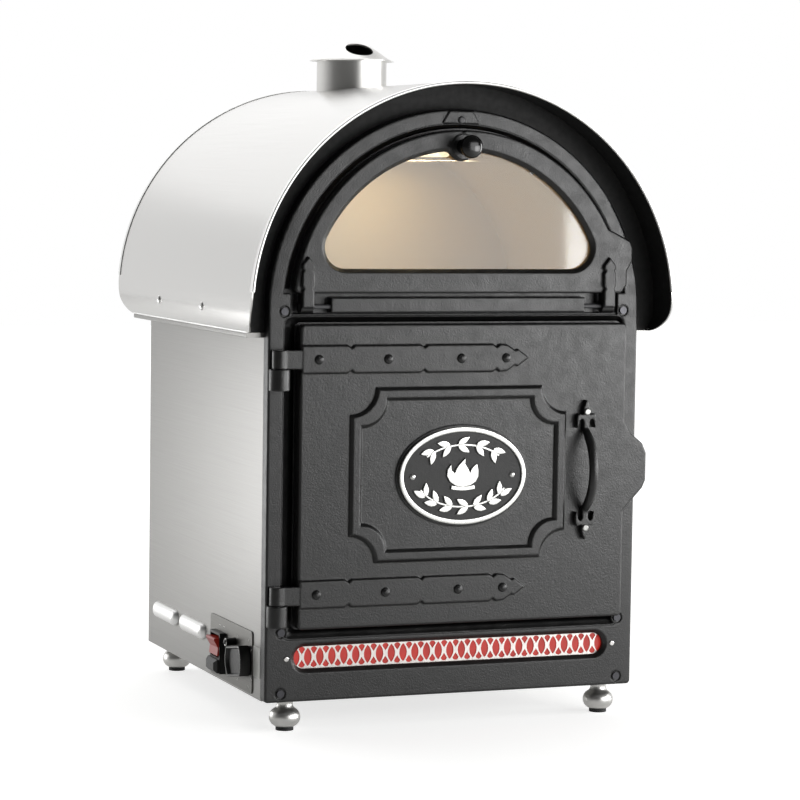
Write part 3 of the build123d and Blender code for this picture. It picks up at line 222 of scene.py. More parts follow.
def brushed_stainless(name, colour, along, roughness, streak=0.05):
    """Rolled or brushed stainless steel: fine streaks along one direction."""
    material, tree, shader, place = new_material(name)
    if not tree:
        return material
    # brush lines of about 0.4 mm, drawn coarser than real so that they show
    stretch = [2500.0, 2500.0, 2500.0]
    stretch[along] = 6.0
    lines = add_node(tree, "ShaderNodeMapping", {"vector_type": "POINT"}, {"Scale": stretch},
                     {"Vector": place})
    grain = add_node(tree, "ShaderNodeTexNoise", inputs={"Scale": 1.0, "Detail": 2.0},
                     links={"Vector": lines.outputs["Vector"]})
    roughness_between(tree, shader, grain.outputs["Fac"], roughness - streak, roughness + streak)
    bump = add_node(tree, "ShaderNodeBump", inputs={"Strength": 0.05, "Distance": 0.0001},
                    links={"Height": grain.outputs["Fac"]})
    tree.links.new(bump.outputs["Normal"], shader.inputs["Normal"])
    shader.inputs["Base Color"].default_value = linear(colour)
    shader.inputs["Metallic"].default_value = 1.0
    return material


def plain_metal(name, colour, roughness, scale=300.0):
    """Turned, plated or galvanised metal with faint mottling."""
    material, tree, shader, place = new_material(name)
    if not tree:
        return material
    # a scale of 300 gives mottling of about 3 mm
    mottle = add_node(tree, "ShaderNodeTexNoise", inputs={"Scale": scale, "Detail": 2.0},
                      links={"Vector": place})
    roughness_between(tree, shader, mottle.outputs["Fac"], max(roughness - 0.05, 0.02), roughness + 0.06)
    shader.inputs["Base Color"].default_value = linear(colour)
    shader.inputs["Metallic"].default_value = 1.0
    return material


def painted(name, colour, roughness, scale=250.0, relief=0.1):
    """Paint, moulded plastic, rubber or paper: a coloured skin with a faint texture."""
    material, tree, shader, place = new_material(name)
    if not tree:
        return material
    # a scale of 250 gives a texture of about 4 mm, which is coarser than real so that it shows
    texture = add_node(tree, "ShaderNodeTexNoise", inputs={"Scale": scale, "Detail": 3.0},
                       links={"Vector": place})
    roughness_between(tree, shader, texture.outputs["Fac"], max(roughness - 0.05, 0.02), roughness + 0.05)
    bump = add_node(tree, "ShaderNodeBump", inputs={"Strength": relief, "Distance": 0.0003},
                    links={"Height": texture.outputs["Fac"]})
    tree.links.new(bump.outputs["Normal"], shader.inputs["Normal"])
    shader.inputs["Base Color"].default_value = linear(colour)
    shader.inputs["IOR"].default_value = 1.5
    return material


def door_glass():
    """Clear toughened glass: thin, nearly colourless, with its reflection."""
    material, tree, shader, place = new_material("toughened_glass")
    if not tree:
        return material
    # a faint film of cooking haze, in patches of about 110 mm
    film = add_node(tree, "ShaderNodeTexNoise", inputs={"Scale": 9.0, "Detail": 2.0}, links={"Vector": place})
    roughness_between(tree, shader, film.outputs["Fac"], 0.02, 0.06)
    shader.inputs["Base Color"].default_value = linear("#f4f6f2")
    shader.inputs["IOR"].default_value = 1.5
    shader.inputs["Transmission Weight"].default_value = 1.0
    # light passes straight through to the compartment behind
    clear = add_node(tree, "ShaderNodeBsdfTransparent", inputs={"Color": linear("#eef0ea")})
    rays = add_node(tree, "ShaderNodeLightPath")
    either = add_node(tree, "ShaderNodeMath", {"operation": "MAXIMUM"},
                      links={0: rays.outputs["Is Shadow Ray"], 1: rays.outputs["Is Diffuse Ray"]})
    mixed = add_node(tree, "ShaderNodeMixShader",
                     links={"Fac": either.outputs[0], 1: shader.outputs["BSDF"], 2: clear.outputs["BSDF"]})
    tree.links.new(mixed.outputs["Shader"], tree.nodes["Material Output"].inputs["Surface"])
    return material


def glowing(name, colour, strength, surface="#ffffff"):
    """Lit plastic or glass with a slightly uneven glow, in patches of about 17 mm."""
    material, tree, shader, place = new_material(name)
    if not tree:
        return material
    cloud = add_node(tree, "ShaderNodeTexNoise", inputs={"Scale": 60.0, "Detail": 1.0},
                     links={"Vector": place})
    dim = [channel * 0.72 for channel in linear(colour)[:3]] + [1.0]
    glow = add_node(tree, "ShaderNodeValToRGB", links={"Fac": cloud.outputs["Fac"]},
                    stops=((0.3, dim), (0.7, linear(colour))))
    tree.links.new(glow.outputs["Color"], shader.inputs["Emission Color"])
    shader.inputs["Emission Strength"].default_value = strength
    shader.inputs["Base Color"].default_value = linear(surface)
    shader.inputs["Roughness"].default_value = 0.35
    return material


# ---------------------------------------------------------------- helpers for pieces


def soften(obj, angle):
    """Smooth shading that breaks at edges sharper than the angle."""
    for polygon in obj.data.polygons:
        polygon.use_smooth = True
    split = obj.modifiers.new("split", "EDGE_SPLIT")
    split.split_angle = math.radians(angle)
    split.use_edge_sharp = False
    flats = obj.modifiers.new("flats", "WEIGHTED_NORMAL")
    flats.weight = 100


def dress(names, material, angle=28.0):
    """Give frame nodes a material and merged, smooth shading."""
    for name in names:
        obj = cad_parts[name]
        obj.data.materials.clear()
        obj.data.materials.append(material)
        weld = obj.modifiers.new("weld", "WELD")
        weld.merge_threshold = 0.00002
        soften(obj, angle)


def piece(name, bm, material, body, shift=(0, FACE, 0), side=False, replaces=(), angle=32.0):
    """Finish a bmesh drawn in millimetres as an object that rides on a body.

    A piece for the left side is drawn facing the front, and turned to face left.
    """
    bmesh.ops.remove_doubles(bm, verts=bm.verts, dist=0.004)
    bmesh.ops.recalc_face_normals(bm, faces=bm.faces)
    if side:
        quarter = Matrix.Rotation(math.radians(-90), 3, "Z")
        bmesh.ops.rotate(bm, cent=(0, 0, 0), matrix=quarter, verts=bm.verts)
    bmesh.ops.translate(bm, vec=shift, verts=bm.verts)
    bmesh.ops.scale(bm, vec=(MM, MM, MM), verts=bm.verts)
    mesh = bpy.data.meshes.new(name)
    bm.to_mesh(mesh)
    bm.free()
    mesh.materials.append(material)
    obj = bpy.data.objects.new(name, mesh)
    bpy.context.scene.collection.objects.link(obj)
    soften(obj, angle)
    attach(obj, body)
    if replaces:
        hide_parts(*replaces)
    return obj


def ring(bm, points, depth, closed=True):
    """Edge loop through (across, up) points at one depth."""
    verts = [bm.verts.new((across, depth, up)) for across, up in points]
    pairs = list(zip(verts, verts[1:] + verts[:1]))
    return [bm.edges.new(pair) for pair in (pairs if closed else pairs[:-1])]


def skin(bm, loops, closed=False):
    """Bridge edge loops one after another, and back to the first if closed."""
    for near, far in zip(loops, loops[1:] + (loops[:1] if closed else [])):
        bmesh.ops.bridge_loops(bm, edges=near + far)


def close_holes(bm):
    """Fill every open boundary."""
    bmesh.ops.holes_fill(bm, edges=[edge for edge in bm.edges if edge.is_boundary], sides=0)


def edges_of(verts):
    """Edges that meet any of the vertices."""
    return list({edge for vert in verts for edge in vert.link_edges})


def pressed(bm, points, front, back, rim=0, segments=3):
    """Flat shape with a rounded front rim, drawn out to the back."""
    face = bm.faces.new([bm.verts.new((across, front, up)) for across, up in points])
    outline = list(face.edges)
    drawn = bmesh.ops.extrude_face_region(bm, geom=[face])
    verts = [item for item in drawn["geom"] if isinstance(item, bmesh.types.BMVert)]
    bmesh.ops.translate(bm, vec=(0, back - front, 0), verts=verts)
    if rim:
        bmesh.ops.bevel(bm, geom=outline, offset=rim, offset_type="OFFSET", segments=segments,
                        profile=0.5, affect="EDGES", clamp_overlap=True, material=-1)


def turned(bm, profile, centre, axis, steps=28):
    """Turn a (radius, along) profile about an axis through the centre."""
    axis = Vector(axis)
    outward = axis.orthogonal().normalized()
    verts = [bm.verts.new(Vector(centre) + outward * radius + axis * along)
             for radius, along in profile]
    edges = [bm.edges.new(pair) for pair in zip(verts, verts[1:])]
    bmesh.ops.spin(bm, geom=verts + edges, cent=centre, axis=axis, angle=2 * math.pi, steps=steps,
                   use_merge=True)


def rounded(left, low, right, high, radius, steps=6):
    """Points of a rectangle with rounded corners."""
    points = []
    corners = ((right - radius, high - radius, 0), (left + radius, high - radius, 90),
               (left + radius, low + radius, 180), (right - radius, low + radius, 270))
    for centre_x, centre_z, start in corners:
        for step in range(steps + 1):
            turn = math.radians(start + 90 * step / steps)
            points.append((centre_x + radius * math.cos(turn), centre_z + radius * math.sin(turn)))
    return points


def arc(half_width, half_height, start, end, steps, centre=(0, 0)):
    """Points along an ellipse between two angles in degrees."""
    turns = [math.radians(start + (end - start) * step / steps) for step in range(steps + 1)]
    return [(centre[0] + half_width * math.cos(turn), centre[1] + half_height * math.sin(turn))
            for turn in turns]


def moved(points, turn, shift):
    """Turn points by an angle in degrees, then shift them."""
    cos, sin = math.cos(math.radians(turn)), math.sin(math.radians(turn))
    return [(x * cos - z * sin + shift[0], x * sin + z * cos + shift[1]) for x, z in points]


# ---------------------------------------------------------------- operators


class OVEN_OT_castings(bpy.types.Operator):
    """Enamelled front casting and both doors"""

    bl_idname = "oven.castings"
    bl_label = "Castings"

    def execute(self, context):
        enamel = black_enamel()
        dress(["front_frame", "oven_door", "display_door"], enamel)
        self.coves(enamel)
        self.rivets(context.scene.oven_sizes.rivet_radius / MM, enamel)
        return {"FINISHED"}

    def coves(self, enamel):
        """Coved steps between the flange and the two doors."""
        # how far across the step, and how deep, the hollow of the cove runs
        hollow = ((0.0, 0.05), (0.3, 3.6), (0.65, 5.3), (1.0, 5.9))
        floor = 5.95
        # left, low, right, high and corner radius of the step's two outlines
        outer, inner = (-205, 103, 206, 459.5, 10), (-190.8, 113.8, 204.9, 452.6, 7)
        bm = bmesh.new()
        loops = []
        for part, depth in hollow:
            between = [far + part * (near - far) for far, near in zip(outer, inner)]
            loops.append(ring(bm, rounded(*between), depth))
        loops.append(ring(bm, rounded(*outer), floor))
        skin(bm, loops, closed=True)
        piece("oven_door_cove", bm, enamel, "cabinet", angle=40)
        outer, inner, start, end = 206.4, 201.2, 6.6, 173.4
        bm = bmesh.new()
        loops = []
        for part, depth in hollow:
            radius = outer + part * (inner - outer)
            curve = arc(radius, radius, start, end, 72, (3 * part, SPRING))
            loops.append(ring(bm, curve, depth, closed=False))
        loops.append(ring(bm, arc(outer, outer, start, end, 72, (0, SPRING)), floor, closed=False))
        skin(bm, loops, closed=True)
        close_holes(bm)
        piece("display_door_cove", bm, enamel, "cabinet", angle=40)

    def rivets(self, radius, enamel):
        """Cast rivets with a small cone on each, along both straps."""
        bm = bmesh.new()
        cone = ((0, -3.6), (0.34, -3.5), (0.5, -2.7), (0.72, -2.3), (0.92, -1.3), (1.0, 0.6))
        profile = [(part * radius, along) for part, along in cone]
        strap_depth = -16
        for up in STRAP_HEIGHTS:
            for reach in (20, 101, 188, 242):
                turned(bm, profile, (HINGE_SIDE + reach, strap_depth, up), (0, 1, 0))
        piece("strap_rivets", bm, enamel, "oven_door", angle=24)


class OVEN_OT_badge(bpy.types.Operator):
    """Oval badge with a leaf wreath and a flame"""

    bl_idname = "oven.badge"
    bl_label = "Badge"

    half_width = 76.5
    half_height = 54.7
    shift = (2.0, FACE, DOOR_MIDDLE - 1.3)
    # depths of the top and the root of its relief, of the painted ground and of its back
    top, root, ground, back = -18.5, -16.0, -16.3, -13.4

    def execute(self, context):
        # cast aluminium, its raised parts rubbed bright: a soft silver gleam with marks of about 2 mm
        silver = plain_metal("polished_aluminium_relief", context.scene.oven_colours.silver, 0.3, 500.0)
        # stove paint in the hollows: dull black with a tooth of about 1.5 mm
        paint = painted("black_stove_paint", "#141414", 0.5, 700.0, relief=0.5)
        bm = bmesh.new()
        pressed(bm, arc(74, 52, 0, 360, 96)[:-1], self.ground, self.back)
        self.fix("badge_ground", bm, paint, 32.0)
        bm = bmesh.new()
        width = context.scene.oven_sizes.badge_rim / MM
        profile = ((0, self.back), (0, -17.2), (0.1, -18.2), (0.3, self.top), (0.75, self.top), (0.92, -18.2),
                   (1, -17.4), (1, -15.5))
        loops = []
        for part, depth in profile:
            oval = arc(self.half_width - part * width, self.half_height - part * width, 0, 360, 96)
            loops.append(ring(bm, oval[:-1], depth))
        skin(bm, loops, closed=True)
        self.fix("badge_rim", bm, silver, 40)
        bm = bmesh.new()
        self.wreath(bm)
        self.flame(bm)
        dot = ((0, -2.2), (2.0, -2.0), (3.1, -1.2), (3.4, 0.4))
        for across in (-60, 60):
            turned(bm, dot, (across, self.ground, 0), (0, 1, 0), 20)
        self.fix("badge_relief", bm, silver, 40)
        return {"FINISHED"}

    def fix(self, name, bm, material, angle):
        """Fix one part of the badge to the oven door."""
        piece(name, bm, material, "oven_door", self.shift, replaces=("badge",),
              angle=angle)

    def wreath(self, bm):
        """Two arcs of paired leaves on their stems."""
        leaf = [(-7.6, 0), (-5.4, 2.3), (-1.8, 3.5), (2.2, 3.3), (5.6, 1.9), (8.6, 0), (5.6, -1.9),
                (2.2, -3.3), (-1.8, -3.5), (-5.4, -2.3)]
        for start, end, count in ((44, 136, 5), (210, 330, 7)):
            middle = (start + end) / 2
            for index in range(count):
                turn = start + (end - start) * index / (count - 1)
                flow = 90 if turn > middle else -90
                place = arc(55.5, 34.6, turn, turn, 1)[0]
                away = math.radians(turn)
                for lean in (-1, 1):
                    spot = (place[0] + 4.4 * lean * math.cos(away), place[1] + 4.4 * lean * math.sin(away))
                    tilt = 30 * lean * math.copysign(1, -flow)
                    pressed(bm, moved(leaf, turn + flow + tilt, spot), self.top, self.root, 0.8, 2)
            stem = arc(56.3, 35.4, start - 5, end + 5, 28) + arc(54.7, 33.8, end + 5, start - 5, 28)
            pressed(bm, stem, self.top + 0.7, self.root)

    def flame(self, bm):
        """Flame of three leaning tongues over a curved bar."""
        flame = [(-8, -9), (-14, -5), (-17.5, 1), (-17, 7), (-13, 13), (-12.5, 7), (-9, 3.5), (-7.5, 8),
                 (-4, 12.5), (2.5, 19), (2, 13), (5, 8.5), (7.5, 4), (9, 8), (15, 12.5), (16.5, 6), (16.5, 0),
                 (14, -5), (8, -9), (0, -10.4)]
        pressed(bm, [(1.12 * x, 1.12 * z - 1) for x, z in flame], self.top, self.root, 0.9, 2)
        bar = arc(60, 60, 256, 284, 10, (0, 43.5)) + arc(55.6, 55.6, 284, 256, 10, (0, 43.5))
        pressed(bm, bar, self.top + 0.1, self.root, 0.6, 2)


class OVEN_OT_handle(bpy.types.Operator):
    """Bowed pull with a leaf and two horns at each end"""

    bl_idname = "oven.handle"
    bl_label = "Door pull"

    shift = (152.0, FACE, DOOR_MIDDLE + 2)

    def execute(self, context):
        front, back, tip = -20, -12.05, 79.2
        bm = bmesh.new()
        horn = ((2.3, 74.5), (3.9, 69.5), (4.2, 67), (3.2, 64.4), (3.6, 62.8), (6.2, 62.9), (9.3, 63.9),
                (11.3, 61), (12, 55.5), (11.4, 49.5), (10.7, 47.6), (9.7, 52), (8.7, 56.2), (6.5, 58),
                (4.5, 57.2), (3.2, 54), (3.2, 44))
        for flip in (-1, 1):
            outline = ([(0, flip * tip)] + [(across, flip * up) for across, up in horn]
                       + [(-across, flip * up) for across, up in reversed(horn)])
            pressed(bm, outline, front, back, 1.1, 3)
        self.grip(bm, context.scene.oven_sizes.grip_radius / MM)
        piece("door_pull", bm, black_enamel(), "oven_door", self.shift, replaces=("handle",),
              angle=40)
        return {"FINISHED"}

    def grip(self, bm, radius):
        """Bow of round bar, thicker at its middle."""
        foot, reach, half, steps = -12.5, 28.5, 47.0, 28
        bow = (half ** 2 + reach ** 2) / (2 * reach)
        centre = Matrix.Translation((0, foot - reach + bow, 0))
        swing = math.asin(half / bow)
        loops = []
        for step in range(steps + 1):
            along = 2 * step / steps - 1
            place = centre @ Matrix.Rotation(along * swing, 4, "X") @ Matrix.Translation((0, -bow, 0))
            circle = bmesh.ops.create_circle(bm, cap_ends=step in (0, steps), segments=20,
                                             radius=radius * (1 - 0.3 * along ** 4), matrix=place)
            loops.append(edges_of(circle["verts"]))
        skin(bm, loops)


class OVEN_OT_shell(bpy.types.Operator):
    """Stainless body panels, canopy and flue"""

    bl_idname = "oven.shell"
    bl_label = "Shell"

    def execute(self, context):
        colours = context.scene.oven_colours
        # brushed front to back: broad soft reflections, drawn out along the brush lines; its colour is
        # painted darker than the canopy's stainless, as painted shade on the side and back panels
        panel = brushed_stainless("stainless_panel_painted_shade", colours.panel, 1, 0.36)
        dress(["side_panel_left", "side_panel_right", "rear_panel", "body_arch", "base_tray"], panel)
        # mill-finished sheet, rolled round, with the room in soft bands along it; lighter than the panels,
        # whose same stainless is painted darker as their shade
        rolled = brushed_stainless("rolled_stainless_sheet", colours.rolled, 1, 0.24, 0.03)
        dress(["canopy"], rolled)
        # polished edges and pressings: thin, clear highlights
        bright = brushed_stainless("polished_stainless", colours.rolled, 2, 0.16, 0.04)
        dress(["canopy_trim_front", "canopy_trim_rear"], bright)
        # spun cap: faint lines across and a pale, broad gleam
        dress(["chimney_cap"], brushed_stainless("spun_stainless", "#e4e3e0", 0, 0.3))
        # drawn tube: faint upright lines and a soft gleam
        dress(["flue_tube"], brushed_stainless("drawn_stainless_tube", "#dcdbd8", 2, 0.36))
        # deep matt black that shows almost no reflection, partly painted shade for the dark space under the
        # canopy's overhangs
        lining = painted("matt_black_lining_painted_shade", "#060606", 0.72, 160.0)
        dress(["canopy_front_lining", "canopy_rear_plate"], lining)
        # zinc plate: a cool, slightly clouded silver
        zinc = plain_metal("bright_zinc_plate", "#d4d4d2", 0.3)
        dress(["canopy_spacers"], zinc)
        self.canopy_edges(bright, panel, zinc)
        self.rear_screws(zinc)
        # oil-blackened bolt heads: dark grey metal with a dull gleam
        dress(["frame_bolts"], plain_metal("blackened_steel", "#48484b", 0.36))
        # bare foil: pale grey with a soft sheen
        dress(["data_label"], painted("blank_foil_label", "#bcbcb8", 0.5))
        # moulded nylon: charcoal with a satin skin
        dress(["supply_inlet"], painted("nylon_gland", "#1a1a1a", 0.45))
        self.louvres(context.scene.oven_sizes.louvre_relief / MM, bright)
        return {"FINISHED"}

    def canopy_edges(self, bright, panel, zinc):
        """Rolled front bead, hemmed feet, the rails they stand on and the domed screws at their sides."""
        self.front_bead(bright)
        self.hems(bright)
        self.rails(panel)
        self.side_screws(zinc)

    def front_bead(self, bright):
        """Bead rolled round the front edge of the canopy, from foot to foot."""
        start = math.radians(4.9)
        reach = CANOPY_RADIUS - 1.1
        bead_depth = -29.6
        foot = Matrix.Translation((reach * math.cos(start), bead_depth, SPRING + reach * math.sin(start)))
        bm = bmesh.new()
        bead = bmesh.ops.create_circle(bm, segments=12, radius=1.9, matrix=foot)
        bmesh.ops.spin(bm, geom=bead["verts"] + edges_of(bead["verts"]), cent=(0, 0, SPRING), axis=(0, 1, 0),
                       steps=96, angle=2 * start - math.pi)
        close_holes(bm)
        piece("canopy_front_bead", bm, bright, "cabinet", angle=60)

    def hems(self, bright):
        """Hem folded along each foot of the canopy, with rounded ends."""
        radius, middle, up = 1.7, 243, CANOPY_FOOT + 1.2
        profile = ((0.1, 6), (0.8, 9), (1, 13), (1, 446), (0.8, 450), (0.1, 453))
        bm = bmesh.new()
        for side in (-1, 1):
            skin(bm, [ring(bm, arc(part * radius, part * radius, 0, 360, 12, (side * middle, up))[:-1], depth)
                      for part, depth in profile])
        close_holes(bm)
        piece("canopy_hems", bm, bright, "cabinet", angle=60)

    def rails(self, panel):
        """Flat rail under each foot of the canopy."""
        thick, corner, inner, outer, ends = 5.4, 1.4, 221.5, 243.5, (15, 450)
        bm = bmesh.new()
        for left, right in ((-outer, -inner), (inner, outer)):
            outline = rounded(left, CANOPY_FOOT - thick, right, CANOPY_FOOT, corner)
            skin(bm, [ring(bm, outline, depth) for depth in ends])
        close_holes(bm)
        piece("rail_strips", bm, panel, "cabinet", replaces=("canopy_rails",), angle=40)

    def side_screws(self, zinc):
        """Domed screw heads low on both sides of the canopy."""
        dome = ((5, -1.2), (5, 0.3), (4.4, 1.1), (3.0, 1.9), (1.4, 2.3), (0, 2.4))
        head = 5
        near, far = (corner[1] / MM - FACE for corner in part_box("canopy_screws"))
        bm = bmesh.new()
        for side in (-1, 1):
            for depth in (near + head, far - head):
                turned(bm, dome, (side * CANOPY_RADIUS, depth, SPRING - 1.7), (side, 0, 0), 24)
        piece("canopy_screw_heads", bm, zinc, "cabinet", replaces=("canopy_screws",), angle=40)

    def rear_screws(self, zinc):
        """Domed screws that hold the back panel, down its sides and round its arch."""
        dome = ((4.2, -0.6), (4.2, 0.3), (3.6, 1.0), (2.2, 1.7), (0, 2.0))
        inset = 14
        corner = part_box("rear_panel")[1]
        rear = corner[1] / MM - FACE
        half = corner[0] / MM - inset
        places = [(side * half, up) for side in (-1, 1) for up in (60, 186, 312, 438)]
        places += arc(half, half, 36, 144, 3, (0, SPRING))
        bm = bmesh.new()
        for across, up in places:
            turned(bm, dome, (across, rear, up), (0, 1, 0), 20)
        piece("rear_panel_screws", bm, zinc, "cabinet", angle=40)

    def louvres(self, relief, bright):
        """Pressed scoops, domed towards the front, over the vents at the back of the left panel."""
        sheet, middle, half_height, steps = 1.2, 80, 9.8, 16
        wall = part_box("side_panel_left")[1][0] / MM - sheet
        bm = bmesh.new()
        for start, end in ((223.0, 300.5), (332.5, 410.0)):
            length = end - start
            profile = ((-6, 0.02), (-5.4, 0.3), (-3.4, 0.66), (0, 0.9), (4, 1.0), (20, 1.0),
                       (length - 4, 1.0), (length - 2, 0.97), (length - 0.6, 0.8), (length, 0.55))
            loops = []
            for along, part in profile:
                half = half_height * (0.35 + 0.65 * part)
                verts = []
                for step in range(steps + 1):
                    turn = math.pi * step / steps
                    out = relief * part * math.sin(turn) ** 0.8
                    verts.append(bm.verts.new((wall - out, start + along, middle - half * math.cos(turn))))
                loops.append([bm.edges.new(pair) for pair in zip(verts, verts[1:])])
            skin(bm, loops)
        close_holes(bm)
        piece("louvres", bm, bright, "cabinet", angle=40)


class OVEN_OT_insides(bpy.types.Operator):
    """Liners, shelves, lamps, fan and insulation"""

    bl_idname = "oven.insides"
    bl_label = "Insides"

    def execute(self, context):
        # galvanised sheet: grey metal with spangle of about 11 mm
        galvanised = plain_metal("galvanised_steel", "#b7b8b9", 0.34, 90.0)
        dress(["oven_liner", "rack_runners", "fan_baffle", "chassis_rails", "fan_wheel", "heating_element",
               "oven_door_pan", "lamp_holders"], galvanised)
        # enamelled liner: a warm, nearly even cream
        warm = painted("cream_enamel_liner", "#c9b796", 0.4, relief=0.02)
        dress(["display_liner", "display_floor"], warm)
        # chrome on drawn wire: clear, hard highlights
        dress(["display_shelf", "oven_racks", "glass_clips", "oven_hinge_pins"],
              plain_metal("chromed_wire", "#d6d6d6", 0.15))
        # zinc on small screws: mid grey with a soft gleam
        dress(["handle_screws"], plain_metal("zinc_plated_screws", "#8e8e8c", 0.32))
        # paint over steel: dull dark grey
        dress(["door_catches", "display_hinge_pins"], painted("blackened_catch", "#4a4a4c", 0.5))
        # pressed mineral fibre: rough straw-coloured wool with tufts of about 2 mm
        dress(["insulation_jacket"], painted("mineral_wool", "#b9ac7c", 0.9, 600.0, relief=0.6))
        # braided glass fibre: grey rope with strands of about 1 mm
        dress(["oven_door_gasket"], painted("glass_fibre_gasket", "#8d8a82", 0.85, 900.0, relief=0.5))
        # stoving paint on the motor: satin black
        dress(["fan_motor"], painted("motor_black_paint", "#1b1b1b", 0.4))
        lamp_colour = context.scene.oven_colours.lamp
        # frosted glass: an even warm light
        dress(["display_lamps"], glowing("frosted_lamp_glass", lamp_colour, 1.2))
        for name, depth in (("front_lamp", 80), ("rear_lamp", 215)):
            self.lamp_light(name, depth, lamp_colour)
        return {"FINISHED"}

    def lamp_light(self, name, depth, colour):
        """Light that one lamp throws down into the display compartment."""
        up = SPRING + 166
        light = bpy.data.lights.new(name, "AREA")
        light.shape = "RECTANGLE"
        light.size, light.size_y, light.energy = 0.1, 0.03, 0.1
        light.color = linear(colour)[:3]
        lamp = bpy.data.objects.new(name, light)
        bpy.context.scene.collection.objects.link(lamp)
        lamp.location = (0, (FACE + depth) * MM, up * MM)


class OVEN_OT_glow(bpy.types.Operator):
    """Lit grille across the foot of the front"""

    bl_idname = "oven.glow"
    bl_label = "Glow grille"

    def execute(self, context):
        # nickel plate: warm silver, with wear of about 2.5 mm on the lattice
        dress(["grille"], plain_metal("nickel_plated_lattice", "#d4d0cc", 0.34, 400.0))
        # the same plate, bright on its screws
        dress(["grille_screws"], plain_metal("nickel_plate", "#d8d6d4", 0.2))
        # cast acrylic: saturated red, lit through from behind
        dress(["glow_lens"], glowing("red_acrylic_lens", context.scene.oven_colours.glow, 0.5, "#7a1a12"))
        # tubular lamp: a warm white tube
        dress(["glow_lamp"], glowing("tubular_lamp", "#ffd9b0", 2.0))
        return {"FINISHED"}


class OVEN_OT_fittings(bpy.types.Operator):
    """Glass, knob and feet"""

    bl_idname = "oven.fittings"
    bl_label = "Fittings"

    def execute(self, context):
        dress(["display_glass"], door_glass())
        self.display_knob()
        # turned aluminium: satin silver with fine level lines
        dress(["feet_front", "feet_rear"], brushed_stainless("turned_aluminium", "#d0cfcc", 0, 0.36))
        # moulded rubber: matt black
        dress(["foot_pads"], painted("black_rubber", "#111111", 0.7))
        return {"FINISHED"}

    def display_knob(self):
        """Mushroom knob with a waist behind its cap."""
        # radius and depth, from the shank to the middle of the cap
        profile = ((0, 4), (9, 4), (9, -9), (8.2, -11), (6.8, -15), (6.9, -20), (8.6, -24.5), (11.3, -27),
                   (12.8, -30), (13, -32.3), (12.3, -34.8), (10.4, -36.4), (7.2, -37.4), (3.6, -37.9),
                   (0, -38))
        bm = bmesh.new()
        turned(bm, profile, (0, 0, 0), (0, 1, 0), 48)
        # phenolic moulding: deep gloss black with one small, sharp highlight
        gloss = painted("phenolic_knob", "#060606", 0.16, 90.0, relief=0.03)
        piece("knob_grip", bm, gloss, "display_door", (0, FACE, KNOB_HEIGHT),
              replaces=("display_knob",), angle=50)


